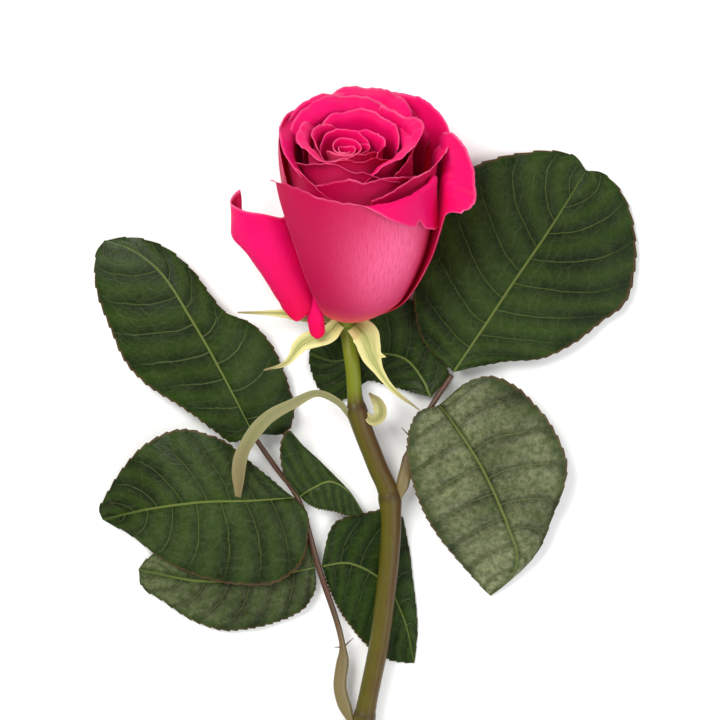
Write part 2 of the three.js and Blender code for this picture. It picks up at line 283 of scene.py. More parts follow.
def rod(name: str, line: Line, rows: int, sides: int, reach: Reach, marks: Marks) -> bpy.types.Object:
    """Makes a closed tube along a line, with slightly domed ends.

    Args:
        name: the piece's name.
        line: its middle.
        rows: rings along it.
        sides: corners round it.
        reach: takes shares along and angles round, and gives the radius at each.
        marks: shading marks, one number per ring.

    Returns:
        The tube, with "along", "facing" and "flank" marks and an "end" mark on its closed ends.
    """
    shares = np.linspace(0, 1, rows)
    centre, ahead = line.at(shares), line.ahead(shares)
    normal = unit(UP - ahead * (ahead @ UP)[:, None])
    sideways = np.cross(ahead, normal)
    angles = np.linspace(0, 2 * np.pi, sides, endpoint=False)
    cos, sin = np.cos(angles)[None, :, None], np.sin(angles)[None, :, None]
    radius = reach(shares[:, None], angles[None, :])[..., None]
    grid = centre[:, None] + (cos * normal[:, None] + sin * sideways[:, None]) * radius
    number = np.arange(rows * sides).reshape(rows, sides)
    beside = np.roll(number, -1, axis=1)
    faces = np.stack([number[:-1], number[1:], beside[1:], beside[:-1]], -1).reshape(-1, 4).tolist()
    corners, ends = [grid.reshape(-1, 3)], [np.ones(rows * sides)]
    count = rows * sides
    for row, sign in ((0, -1), (rows - 1, 1)):
        rings = [number[row]]
        for shrink, mark in END_RINGS:
            rise = ahead[row] * sign * END_DOME * (1 - shrink)
            corners.append(centre[row] + (grid[row] - centre[row]) * shrink + rise)
            ends.append(np.full(sides, mark))
            rings.append(np.arange(count, count + sides))
            count += sides
        corners.append(centre[row][None] + ahead[row] * sign * END_MIDDLE)
        ends.append(np.zeros(1))
        closing = []
        for outer, inner in zip(rings, rings[1:]):
            closing += zip(outer, np.roll(outer, -1), np.roll(inner, -1), inner)
        closing += zip(rings[-1], np.roll(rings[-1], -1), [count] * sides)
        faces += [face if sign > 0 else face[::-1] for face in closing]
        count += 1
    tail = count - rows * sides
    spread = {}
    for mark, values in {"along": shares, **marks}.items():
        closed = [np.full(tail // 2, values[end]) for end in (0, -1)]
        spread[mark] = np.concatenate([np.repeat(values, sides), *closed])
    around = np.concatenate([np.tile(angles, rows), np.zeros(tail)])
    spread["facing"], spread["flank"] = np.cos(around), np.sin(around)
    spread["end"] = np.concatenate(ends)
    faces = [[int(corner) for corner in face[::-1]] for face in faces]
    return mesh_piece(name, np.concatenate(corners), faces, spread)


# ------------------------------------------------------------------ materials


class Nodes:
    """Makes and joins the nodes of one material in short calls."""

    def __init__(self, name: str) -> None:
        """Starts a material with one Principled shader."""
        self.material = bpy.data.materials.new(name)
        self.material.use_nodes = True
        self.tree = self.material.node_tree
        self.shader = self.tree.nodes["Principled BSDF"]

    def add(self, kind: str, *inputs: object, **settings: object) -> bpy.types.Node:
        """Adds a node.

        Args:
            kind: the node type's name after ShaderNode.
            inputs: a value or a socket for each input in order, or None to leave it.
            settings: properties of the node.

        Returns:
            The node.
        """
        node = self.tree.nodes.new("ShaderNode" + kind)
        for key, value in settings.items():
            setattr(node, key, value)
        for socket, value in zip(node.inputs, inputs):
            self.feed(socket, value)
        return node

    def feed(self, socket: Socket, value: object) -> None:
        """Sets a socket's value, or joins another socket to it.

        Args:
            socket: the socket that is fed.
            value: a value or a socket, or None to leave it as it is.
        """
        if isinstance(value, Socket):
            self.tree.links.new(value, socket)
        elif value is not None:
            socket.default_value = value

    def mark(self, name: str) -> Socket:
        """A shading mark of the mesh."""
        return self.add("Attribute", attribute_name=name).outputs["Fac"]

    def math(self, operation: str, *values: object) -> Socket:
        """A Math node's result."""
        return self.add("Math", *values, operation=operation).outputs[0]

    def plus(self, first: object, second: object) -> Socket:
        """The sum of two numbers."""
        return self.math("ADD", first, second)

    def minus(self, first: object, second: object) -> Socket:
        """The second number taken from the first."""
        return self.math("SUBTRACT", first, second)

    def times(self, first: object, second: object) -> Socket:
        """The product of two numbers."""
        return self.math("MULTIPLY", first, second)

    def size(self, value: object) -> Socket:
        """A number without its sign."""
        return self.math("ABSOLUTE", value)

    def step(self, value: object, low: float, high: float, first: float = 0, last: float = 1) -> Socket:
        """Rises gently from first at low to last at high."""
        kind = "SMOOTHSTEP"
        return self.add("MapRange", value, low, high, first, last, interpolation_type=kind).outputs[0]

    def mix(self, share: object, first: object, second: object) -> Socket:
        """Blends two colours.

        Args:
            share: how much of the second is taken, from 0 to 1.
            first: a colour or a socket.
            second: a colour or a socket.

        Returns:
            The blended colour.
        """
        node = self.add("Mix", data_type="RGBA", blend_type="MIX")
        self.feed(node.inputs[0], share)
        for socket, value in ((node.inputs[6], first), (node.inputs[7], second)):
            self.feed(socket, (*value, 1.0) if isinstance(value, tuple) else value)
        return node.outputs[2]

    def place(self, x: object, y: object, z: object = 0.0) -> Socket:
        """Joins three numbers into one place."""
        return self.add("CombineXYZ", x, y, z).outputs[0]

    def object_place(self) -> Socket:
        """The place on the piece, in metres."""
        return self.add("TexCoord").outputs["Object"]

    def noise(self, place: object, scale: float, detail: float = 2, rough: float = 0.5) -> Socket:
        """A noise texture's value.

        Args:
            place: where it is read.
            scale: how many lumps stand in one unit.
            detail: how many finer layers it has.
            rough: how strong the finer layers are.

        Returns:
            The value, about 0 to 1.
        """
        node = self.add("TexNoise")
        self.feed(node.inputs["Vector"], place)
        for socket, value in (("Scale", scale), ("Detail", detail), ("Roughness", rough)):
            node.inputs[socket].default_value = value
        return node.outputs["Fac"]

    def net(self, place: object, scale: float, width: float) -> Socket:
        """The walls of a net of cells, 1 on a wall.

        Args:
            place: where it is read.
            scale: how many cells stand in one unit.
            width: how wide a wall is, in cells.

        Returns:
            The walls.
        """
        node = self.add("TexVoronoi", feature="DISTANCE_TO_EDGE")
        self.feed(node.inputs["Vector"], place)
        node.inputs["Scale"].default_value = scale
        return self.step(node.outputs["Distance"], 0.0, width, 1, 0)

    def bump(self, height: object, strength: float, distance: float, under: object = None) -> Socket:
        """A bump from a height.

        Args:
            height: the height socket.
            strength: how strong it is.
            distance: how high 1 is, in metres.
            under: a bump that it is added to.

        Returns:
            The bumped normal.
        """
        node = self.add("Bump")
        node.inputs["Strength"].default_value = strength
        node.inputs["Distance"].default_value = distance
        self.feed(node.inputs["Height"], height)
        self.feed(node.inputs["Normal"], under)
        return node.outputs[0]

    def set(self, **values: object) -> None:
        """Sets sockets of the shader.

        Args:
            values: a value or a socket for each socket's name, with _ for a space.
        """
        for key, value in values.items():
            if isinstance(value, tuple) and key != "Subsurface_Radius":
                value = (*value, 1.0)
            self.feed(self.shader.inputs[key.replace("_", " ")], value)


@dataclass(frozen=True)
class PetalFinish:
    """Velvety petal skin: crimson-pink inside and darkened towards the foot by painted shade deep in the cup,
    silvery and finely veined outside.
    """

    inner: Colour = (0.68, 0.003, 0.115)
    # Dark crimson: the petal's own tone on its veins and random blotches, and painted shade towards the foot
    # inside the cup.
    inner_dark_tone_and_shade: Colour = (0.62, 0.0, 0.05)
    outer: Colour = (0.4, 0.0, 0.05)
    silver_and_painted_light: Colour = (0.82, 0.125, 0.27)
    claw: Colour = (0.78, 0.12, 0.07)
    margin: Colour = (0.95, 0.2, 0.4)
    shine: Colour = (1.0, 0.4, 0.6)
    down: Colour = (1.0, 0.3, 0.5)
    veins: tuple[float, float] = (46.0, 14.0)
    blotch: float = 95.0
    grain: float = 2600.0
    glow_depth: float = 0.0016

    def build(self) -> bpy.types.Material:
        """Builds the material.

        Returns:
            The material.
        """
        n = Nodes("petal_skin")
        across, along, upper, pale = (n.mark(m) for m in ("across", "along", "upper", "pale"))
        place = n.object_place()
        fan = n.place(n.times(across, self.veins[0]), n.times(along, self.veins[1]), upper)
        veins = n.noise(fan, 1.0, 5, 0.66)
        blotch = n.noise(place, self.blotch, 3, 0.55)
        grain = n.noise(place, self.grain, 2, 0.6)
        # The dark crimson mixed in towards the petal's foot is painted shade deep in the cup.
        inside = n.mix(n.step(along, 0.25, 0.85), self.inner_dark_tone_and_shade, self.inner)
        inside = n.mix(n.step(blotch, 0.35, 0.75, 0, 0.35), inside, self.inner_dark_tone_and_shade)
        # The pale mark lifts the dark outer crimson to silver. Partly this is the petal's real silvery reverse,
        # and partly it is painted light where a petal's wash is set to copy light and shade.
        outside = n.mix(pale, self.outer, self.silver_and_painted_light)
        outside = n.mix(n.step(veins, 0.42, 0.66, 0, 0.3), outside, self.outer)
        both = n.mix(upper, inside, outside)
        both = n.mix(n.step(veins, 0.5, 0.7, 0, 0.1), both, self.inner_dark_tone_and_shade)
        both = n.mix(n.step(along, 0.3, 0.06, 0, 0.85), both, self.claw)
        edge = n.math("MAXIMUM", n.step(along, 0.985, 0.999), n.step(n.size(across), 0.98, 0.998))
        both = n.mix(n.times(edge, n.step(blotch, 0.3, 0.7, 0.1, 0.5)), both, self.margin)
        soft = n.bump(veins, 0.14, 0.0005)
        soft = n.bump(grain, 0.1, 0.00008, soft)
        n.set(Base_Color=both, Roughness=0.52, Normal=soft, Sheen_Weight=0.05, Sheen_Roughness=0.35)
        n.set(Sheen_Tint=self.down, Specular_IOR_Level=0.16, Specular_Tint=self.shine)
        n.set(Subsurface_Weight=0.28, Subsurface_Radius=(1.0, 0.22, 0.25), Subsurface_Scale=self.glow_depth)
        return n.material


@dataclass(frozen=True)
class LeafFinish:
    """Waxy dark green leaf with a pale midrib, sunken side veins, a fine net between them and a painted highlight
    on the raised skin between the veins.
    """

    deep: Colour = (0.002, 0.007, 0.0006)
    green: Colour = (0.008, 0.024, 0.0015)
    bright: Colour = (0.026, 0.058, 0.003)
    vein: Colour = (0.12, 0.15, 0.035)
    under: Colour = (0.09, 0.13, 0.05)
    painted_highlight: Colour = (0.3, 0.31, 0.17)
    margin: Colour = (0.085, 0.04, 0.018)
    pairs: float = 8.0
    sweep: float = 0.17
    sweep_bend: float = 1.35
    hand_shift: float = 0.45
    fine_net: float = 520.0
    coarse_net: float = 190.0
    cloud: float = 38.0

    def build(self) -> bpy.types.Material:
        """Builds the material.

        Returns:
            The material.
        """
        n = Nodes("leaf_skin")
        across, along, upper, offset = (n.mark(m) for m in ("across", "along", "upper", "offset"))
        out = n.size(across)
        place = n.object_place()
        wander = n.noise(place, 60.0, 2)
        lean = n.times(n.math("POWER", out, self.sweep_bend), self.sweep)
        row = n.minus(along, lean)
        row = n.plus(row, n.times(n.minus(wander, 0.5), 0.035))
        row = n.plus(n.times(row, self.pairs), n.step(across, -0.001, 0.001, 0, self.hand_shift))
        near = n.size(n.minus(n.math("FRACT", row), 0.5))
        side_vein = n.times(n.step(near, 0.47, 0.497), n.step(out, 0.98, 0.5, 0.15, 1))
        far = n.size(offset)
        midrib = n.times(n.step(far, 0.5, 0.2), n.step(along, 1.0, 0.55, 0.35, 1))
        fine_line = n.net(place, self.fine_net, 0.09)
        coarse_line = n.net(place, self.coarse_net, 0.07)
        cloud = n.noise(place, self.cloud, 4, 0.6)
        skin = n.mix(n.step(cloud, 0.3, 0.7), self.deep, self.green)
        skin = n.mix(n.step(near, 0.0, 0.42, 0.4, 0), skin, self.bright)
        skin = n.mix(n.times(coarse_line, 0.06), skin, self.vein)
        skin = n.mix(n.times(fine_line, 0.05), skin, self.vein)
        skin = n.mix(n.times(side_vein, 0.42), skin, self.vein)
        skin = n.mix(n.step(out, 0.955, 0.995, 0, 0.8), skin, self.margin)
        # Painted highlight: a pale grey-green is mixed onto the raised skin between the side veins, in patches,
        # as strongly as each leaflet's gloss mark asks, where light would catch the puckers.
        raised = n.step(near, 0.49, 0.3, 0.5, 1)
        patch = n.step(n.noise(place, self.cloud, 3, 0.5), 0.3, 0.7, 0.35, 1)
        crumb = n.step(n.noise(place, self.fine_net, 6, 0.75), 0.34, 0.66, 0.3, 1)
        patch = n.times(n.times(patch, crumb), n.step(far, 0.5, 2.2, 0.35, 1))
        patch = n.times(patch, n.step(out, 0.98, 0.78, 0.3, 1))
        shine = n.times(n.mark("painted_gloss"), n.times(raised, patch))
        skin = n.mix(shine, skin, self.painted_highlight)
        back = n.mix(n.times(n.math("MAXIMUM", side_vein, coarse_line), 0.4), self.under, self.vein)
        colour = n.mix(upper, back, skin)
        colour = n.mix(n.times(midrib, 0.85), colour, self.vein)
        relief = n.plus(side_vein, n.times(coarse_line, 0.35))
        relief = n.plus(relief, n.times(fine_line, 0.22))
        normal = n.bump(n.times(relief, -1.0), 0.5, 0.00028)
        normal = n.bump(n.noise(place, 900.0, 3, 0.6), 0.16, 0.0002, normal)
        rough = n.step(n.noise(place, 55.0, 3), 0.3, 0.7, 0.3, 0.46)
        rough = n.plus(rough, n.step(upper, 0, 1, 0.28, 0))
        n.set(Base_Color=colour, Roughness=rough, Normal=normal, Specular_IOR_Level=0.1)
        n.set(Subsurface_Weight=0.04, Subsurface_Radius=(0.4, 1.0, 0.15), Subsurface_Scale=0.0008)
        return n.material


@dataclass(frozen=True)
class SepalFinish:
    """Pale, faintly downy green that browns at its tip."""

    pale: Colour = (0.62, 0.57, 0.24)
    green: Colour = (0.2, 0.23, 0.04)
    tip: Colour = (0.17, 0.12, 0.045)
    dull: Colour = (0.15, 0.145, 0.055)

    def build(self) -> bpy.types.Material:
        """Builds the material.

        Returns:
            The material.
        """
        n = Nodes("sepal_skin")
        across, along = n.mark("across"), n.mark("along")
        place = n.object_place()
        streak = n.noise(n.place(n.times(across, 5.0), n.times(along, 3.0)), 1.0, 4, 0.6)
        colour = n.mix(n.step(n.size(across), 0.9, 0.1), self.pale, self.green)
        colour = n.mix(n.step(streak, 0.35, 0.65, 0, 0.6), colour, self.pale)
        colour = n.mix(n.mark("aged"), colour, self.dull)
        colour = n.mix(n.step(along, 0.6, 1.0, 0, 0.85), colour, self.tip)
        normal = n.bump(streak, 0.3, 0.0003)
        normal = n.bump(n.noise(place, 2200.0, 2), 0.25, 0.0001, normal)
        n.set(Base_Color=colour, Roughness=0.6, Normal=normal, Sheen_Weight=0.12)
        n.set(Subsurface_Weight=0.12, Subsurface_Radius=(0.7, 0.9, 0.2), Subsurface_Scale=0.001)
        return n.material


@dataclass(frozen=True)
class StemFinish:
    """Olive-brown bark, yellow-green on the neck, darker at the leaf scars and pale on the cut."""

    neck: Colour = (0.14, 0.16, 0.005)
    olive: Colour = (0.078, 0.068, 0.003)
    brown: Colour = (0.066, 0.028, 0.004)
    scar: Colour = (0.035, 0.018, 0.006)
    pith: Colour = (0.62, 0.62, 0.4)
    pith_rim: Colour = (0.3, 0.34, 0.12)
    bark_from: tuple[float, float] = (23.0, 29.0)

    def build(self) -> bpy.types.Material:
        """Builds the material.

        Returns:
            The material.
        """
        n = Nodes("stem_bark")
        facing, flank, below, scar, end = (n.mark(m) for m in ("facing", "flank", "below", "scar", "end"))
        place = n.object_place()
        turn = n.place(facing, flank, n.times(below, 0.02))
        streak = n.noise(turn, 4.5, 4, 0.65)
        cloud = n.noise(place, 60.0, 3)
        shaded = n.plus(n.times(flank, 0.3), streak)
        bark = n.mix(n.step(shaded, 0.2, 0.9), self.olive, self.brown)
        bark = n.mix(n.step(cloud, 0.5, 0.75, 0, 0.14), bark, self.neck)
        fade = n.plus(below, n.times(n.minus(streak, 0.5), 6.0))
        colour = n.mix(n.step(fade, *self.bark_from), self.neck, bark)
        colour = n.mix(n.times(scar, 0.55), colour, self.scar)
        cut = n.mix(n.step(end, 0.45, 0.75), self.pith, self.pith_rim)
        colour = n.mix(n.step(end, 0.82, 0.9), cut, colour)
        pores = n.noise(place, 700.0, 2)
        normal = n.bump(streak, 0.25, 0.0004)
        normal = n.bump(pores, 0.2, 0.00015, normal)
        n.set(Base_Color=colour, Roughness=0.42, Normal=normal, Specular_IOR_Level=0.3)
        return n.material


@dataclass(frozen=True)
class StalkFinish:
    """Dark red-brown leaf stalk whose winged foot is olive and fawn."""

    red: Colour = (0.075, 0.018, 0.012)
    brown: Colour = (0.06, 0.035, 0.012)
    foot: Colour = (0.15, 0.115, 0.04)

    def build(self) -> bpy.types.Material:
        """Builds the material.

        Returns:
            The material.
        """
        n = Nodes("stalk_skin")
        facing, along = n.mark("facing"), n.mark("along")
        place = n.object_place()
        streak = n.noise(n.place(facing, n.times(along, 4.0)), 3.0, 3)
        colour = n.mix(n.step(streak, 0.35, 0.65), self.red, self.brown)
        colour = n.mix(n.step(n.plus(along, n.times(streak, 0.15)), 0.5, 0.22), colour, self.foot)
        normal = n.bump(n.noise(place, 800.0, 2), 0.3, 0.0002)
        n.set(Base_Color=colour, Roughness=0.4, Normal=normal, Specular_IOR_Level=0.5)
        return n.material


@dataclass(frozen=True)
class TableFinish:
    """Plain pale table top."""

    white: Colour = (0.93, 0.93, 0.925)
    mottle: float = 0.985

    def build(self) -> bpy.types.Material:
        """Builds the material.

        Returns:
            The material.
        """
        n = Nodes("table_top")
        cloud = n.noise(n.object_place(), 6.0, 3)
        duller = tuple(self.mottle * c for c in self.white)
        n.set(Base_Color=n.mix(cloud, self.white, duller), Roughness=0.7)
        return n.material


class Wardrobe:
    """Builds each finish once and dresses pieces in it."""

    def __init__(self) -> None:
        """Builds the finishes."""
        self.finishes = {
            Slot.PETAL: PetalFinish().build(),
            Slot.LEAF: LeafFinish().build(),
            Slot.SEPAL: SepalFinish().build(),
            Slot.STEM: StemFinish().build(),
            Slot.STALK: StalkFinish().build(),
        }

    def dress(self, piece: bpy.types.Object, slot: Slot, *nodes: str) -> None:
        """Gives a piece its finish and its place in the record.

        Args:
            piece: the mesh object.
            slot: its finish slot.
            nodes: the CAD nodes that it stands for.
        """
        piece.data.materials.append(self.finishes[slot])
        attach(piece, "root")
        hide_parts(*nodes)
        LOG.info("%s: %d faces for %s", piece.name, len(piece.data.polygons), ", ".join(nodes))

    def blade(self, node: str, grid: np.ndarray, thickness: np.ndarray, marks: Marks, slot: Slot) -> None:
        """Makes and dresses the thin blade that stands for one CAD node.

        Args:
            node: the CAD node.
            grid: its points, rows along it and columns across it.
            thickness: how thick it is at each point.
            marks: shading marks per point.
            slot: its finish slot.
        """
        self.dress(leafy(node + "_blade", grid, thickness, marks), slot, node)


# ------------------------------------------------------------------ the plant's own frame


@dataclass
class Habit:
    """How the rose lies: the flower's axis, the receptacle and the stem's course."""

    flower_lean: float = 27.0
    flower_turn: float = 2.0
    belly_reach: float = 24.2
    petal_wall: float = 0.55
    petal_pitch: float = 0.98
    petal_length: float = 80.0
    claw_radius: float = 2.6
    hip_radius: float = 3.5
    neck_reach: float = 3.8
    neck_straight: float = 5.0
    pedicel_radius: float = 2.3
    stem_radius: float = 3.0
    node_swell: float = 0.45
    cut_end: tuple[float, float] = (-11.0, -225.0)
    join_gap: float = 0.35
    rest_gap: float = 0.05
    slopes: tuple[float, ...] = (76, 46, 26, 17, 12, 8, 4, -2, -8)
    bow: float = 2.6
    bow_rise: float = 12.0
    bow_fall: tuple[float, float] = (28.0, 62.0)
    cut_overhang: float = 0.2
    outline_steps: int = 160
    outline_end: float = 1.3
    last_share: float = 1.29
    claw_within: float = 0.9
    claw_stride: float = 0.45
    origin: np.ndarray = field(init=False)

    def __post_init__(self) -> None:
        """Works out the axis, the outermost shell's outline and the receptacle."""
        lean, turn = math.radians(self.flower_lean), math.radians(self.flower_turn)
        self.axis = point(math.sin(turn) * math.cos(lean), math.cos(turn) * math.cos(lean), math.sin(lean))
        self.face = unit(UP - self.axis * self.axis[2])
        self.side = np.cross(self.axis, self.face)
        middles = (np.arange(int(self.outline_end * self.outline_steps)) + 0.5) / self.outline_steps
        slope = np.radians(np.interp(middles, np.linspace(0, 1, len(self.slopes)), self.slopes))
        stride = self.petal_length / self.outline_steps
        radii = np.concatenate([[0], np.cumsum(np.sin(slope) * stride)])
        self.heights = np.concatenate([[0], np.cumsum(np.cos(slope) * stride)])
        self.radii = self.claw_radius + radii * (self.belly_reach - self.claw_radius) / radii.max()
        rests = self.radii * math.cos(lean) - self.heights * math.sin(lean)
        self.receptacle = point(0, self.neck_reach, rests.max() + self.petal_wall / 2 + self.rest_gap)
        low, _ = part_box("stem")
        cut = np.array([low[0], low[1]]) / MM
        leftmost = self.cut_end[0] - self.stem_radius
        lowest = self.cut_end[1] - self.cut_overhang
        self.origin = point(cut[0] - leftmost, cut[1] - lowest, 0)

    def shell(self, depth: float, share: np.ndarray) -> tuple[np.ndarray, np.ndarray]:
        """Walks along a shell of the flower.

        Args:
            depth: how far the shell lies inside the outermost one.
            share: shares of its length.

        Returns:
            The radius and the height at each share.
        """
        place = np.clip(share, 0, self.last_share) * self.outline_steps
        steps = np.arange(len(self.radii))
        dr, dh = np.gradient(self.radii), np.gradient(self.heights)
        span = np.hypot(dr, dh)
        radii, heights = self.radii - dh / span * depth, self.heights + dr / span * depth
        return np.interp(place, steps, radii), np.interp(place, steps, heights)

    def claw_share(self, depth: float) -> float:
        """Finds where a petal on a shell starts, clear of the hip and of the shell's own fold.

        Args:
            depth: how far the shell lies inside the outermost one.

        Returns:
            The share of the shell's length.
        """
        start = self.hip_radius + self.petal_wall + self.join_gap if depth < 0 else self.claw_radius
        shares = np.arange(int(self.claw_within * self.outline_steps)) / self.outline_steps
        radius, height = self.shell(depth, shares)
        stride = np.hypot(np.gradient(radius), np.gradient(height)) * self.outline_steps / self.petal_length
        clear = (radius >= start) & (stride > self.claw_stride) & (np.gradient(height) > 0)
        return float(shares[np.argmax(clear)])

    def in_flower(self, radius: np.ndarray, angle: np.ndarray, height: np.ndarray) -> np.ndarray:
        """Places points about the flower's axis, which bows a little to its right.

        Args:
            radius: how far they stand from the axis.
            angle: degrees round it from the side that faces up.
            height: how far they stand above the receptacle.

        Returns:
            The points in the plant's frame.
        """
        turn = np.radians(angle)
        radius, height = np.asarray(radius, float), np.asarray(height, float)
        bowed = self.bow * smooth(height, 0, self.bow_rise) * (1 - smooth(height, *self.bow_fall))
        aside = radius * np.sin(turn) + bowed
        out = np.multiply.outer(radius * np.cos(turn), self.face) + np.multiply.outer(aside, self.side)
        return self.receptacle + out + np.multiply.outer(height, self.axis)

    def placed(self, points: np.ndarray) -> np.ndarray:
        """Points moved from the plant's frame into the row's frame."""
        return points + self.origin


# ------------------------------------------------------------------ flower


@dataclass
class Petal:
    """One petal on a shell of the flower, with its rim turned out as far as it asks."""

    name: str
    shell: float
    around: float
    reach: float
    top: float
    shoulder: float = 0.08
    tip: float = 0.01
    flare: float = 0.0
    lift: float = 0.0
    lift_from: float = -2.0
    rim: tuple[float, ...] = ()
    nick: tuple[float, float, float] = (0.0, 0.0, 1.0)
    shift: float = 0.0
    side_lift: tuple[float, float] = (0.0, 0.0)
    waist: tuple[float, float] = (1.0, 1.0)
    turn: tuple[tuple[float, ...], tuple[float, ...]] = ((35.0, 25.0, 35.0), (3.5, 2.5, 3.5))
    turn_bend: float = 3.0
    wave: float = 0.5
    rim_waves: tuple[float, float, float] = (0.014, 0.005, 0.009)
    sways: tuple[float, float, float] = (0.75, 0.3, 0.5)
    flare_from: float = 0.65
    waist_until: float = 0.25
    pale: float = 0.35
    pale_at: tuple[float, float] = (0.0, 0.55)
    seed: int = 1
    rows: int = 46
    columns: int = 40
    crowd: tuple[float, float] = (0.92, 0.9)
    pale_size: tuple[float, float] = (0.55, 0.32)
    thickness: float = 0.34
    thin: float = 0.3

    def rim_line(self, u: np.ndarray) -> np.ndarray:
        """Finds how far up its shell the rim stands, before any nick.

        Args:
            u: places across, from -1 to 1.

        Returns:
            Shares of the shell's length.
        """
        slow, quick, drawn = self.rim_waves
        if self.rim:
            return through(evenly(self.rim), self.rim, u) + drawn * self.wave * ripple(self.seed, u * 2, 6, 0.9)
        rim = self.top - self.shoulder * np.abs(u) ** 2.6 + self.tip * (1 - np.abs(u)) ** 2
        rim = rim + slow * self.wave * ripple(self.seed, u / 2, 4, 1.0)
        return rim + quick * ripple(self.seed + 7, u * 2, 6, 0.8)

    def outline(self, habit: Habit, u: np.ndarray, v: np.ndarray) -> tuple[np.ndarray, np.ndarray]:
        """Follows the shell up to the rim and turns the rim out.

        Args:
            habit: the flower's shells.
            u: places across, from -1 to 1.
            v: places along, from 0 to 1.

        Returns:
            The radius and the height at each point.
        """
        depth = self.shell * habit.petal_pitch
        start = habit.claw_share(depth)
        place, cut, width = self.nick
        nick = cut * np.exp(-(((u - place) / width) ** 2))
        angles, depths = self.turn
        turn_depth = np.maximum(through(evenly(depths), depths, u), 0)
        turn_angle = np.radians(through(evenly(angles), angles, u))
        rim, turn_depth = self.rim_line(u) - nick, turn_depth - nick * habit.petal_length
        share = start + (rim[None] - start) * v[:, None]
        radius, height = habit.shell(depth, share)
        left = (rim[None] - share) * habit.petal_length
        bend = turn_angle[None] * smooth(turn_depth[None] - left, 0, self.turn_bend)
        middle = (bend[1:] + bend[:-1]) / 2
        dr, dh = np.diff(radius, axis=0), np.diff(height, axis=0)
        out = dr * np.cos(middle) + dh * np.sin(middle)
        up = dh * np.cos(middle) - dr * np.sin(middle)
        radius = np.concatenate([radius[:1], radius[:1] + np.cumsum(out, 0)])
        return radius, np.concatenate([height[:1], height[:1] + np.cumsum(up, 0)])

    def grid(self, habit: Habit, u: np.ndarray, v: np.ndarray) -> np.ndarray:
        """Shapes the petal: its outline, lifted, flared and waved.

        Args:
            habit: the flower's frame and shells.
            u: places across, from -1 to 1.
            v: places along, from 0 to 1.

        Returns:
            The grid of points.
        """
        radius, height = self.outline(habit, u, v)
        broad, fine, tall = self.sways
        radius += self.flare * smooth(v, self.flare_from, 1)[:, None] ** 1.5
        radius += self.lift * (v**2)[:, None] * smooth(u, self.lift_from, self.lift_from + 1)[None]
        edges = self.side_lift[0] * smooth(-u, 0.1, 1) + self.side_lift[1] * smooth(u, 0.1, 1)
        radius += edges[None] * (v**0.8)[:, None]
        swing = broad * self.wave * (ripple(self.seed + 50, u / 2, 3, 0.8)[None] * (v**4)[:, None])
        radius += swing + fine * self.wave * ripple(self.seed + 31, u * 1.6, 5, 0.8)[None] * (v**8)[:, None]
        height += tall * self.wave * ripple(self.seed + 90, u / 2, 3, 1.4)[None] * (v**3)[:, None]
        waist = np.where(u < 0, *self.waist)[None]
        narrow = waist + (1 - waist) * smooth(v, self.waist_until, 1)[:, None]
        points = habit.in_flower(radius, self.around + self.reach * u[None] * narrow, height)
        return points + habit.side * (self.shift * smooth(v, 0.2, 0.9))[:, None, None]

    def build(self, habit: Habit, wardrobe: Wardrobe) -> None:
        """Makes and dresses the petal.

        Args:
            habit: the flower's frame and shells.
            wardrobe: dresses it.
        """
        u = np.linspace(-1, 1, self.columns)
        u = np.sign(u) * np.abs(u) ** self.crowd[0]
        v = np.linspace(0, 1, self.rows) ** self.crowd[1]
        marks = woven(u, v)
        across, along = marks["across"], marks["along"]
        # The pale wash on the outside is partly the petal's real silvery reverse and partly painted light. On
        # petal_front the strong wash on its right is a painted highlight, and petal_guard_left's zero wash leaves
        # it dark as painted shade.
        (u0, v0), (wide, tall) = self.pale_at, self.pale_size
        marks["pale"] = self.pale * np.exp(-(((across - u0) / wide) ** 2) - ((along - v0) / tall) ** 2)
        fade = smooth(1 - np.abs(across), 0, 0.12) * smooth(1 - along, 0, 0.05)
        thickness = self.thickness * (self.thin + (1 - self.thin) * fade)
        wardrobe.blade(self.name, habit.placed(self.grid(habit, u, v)), thickness, marks, Slot.PETAL)


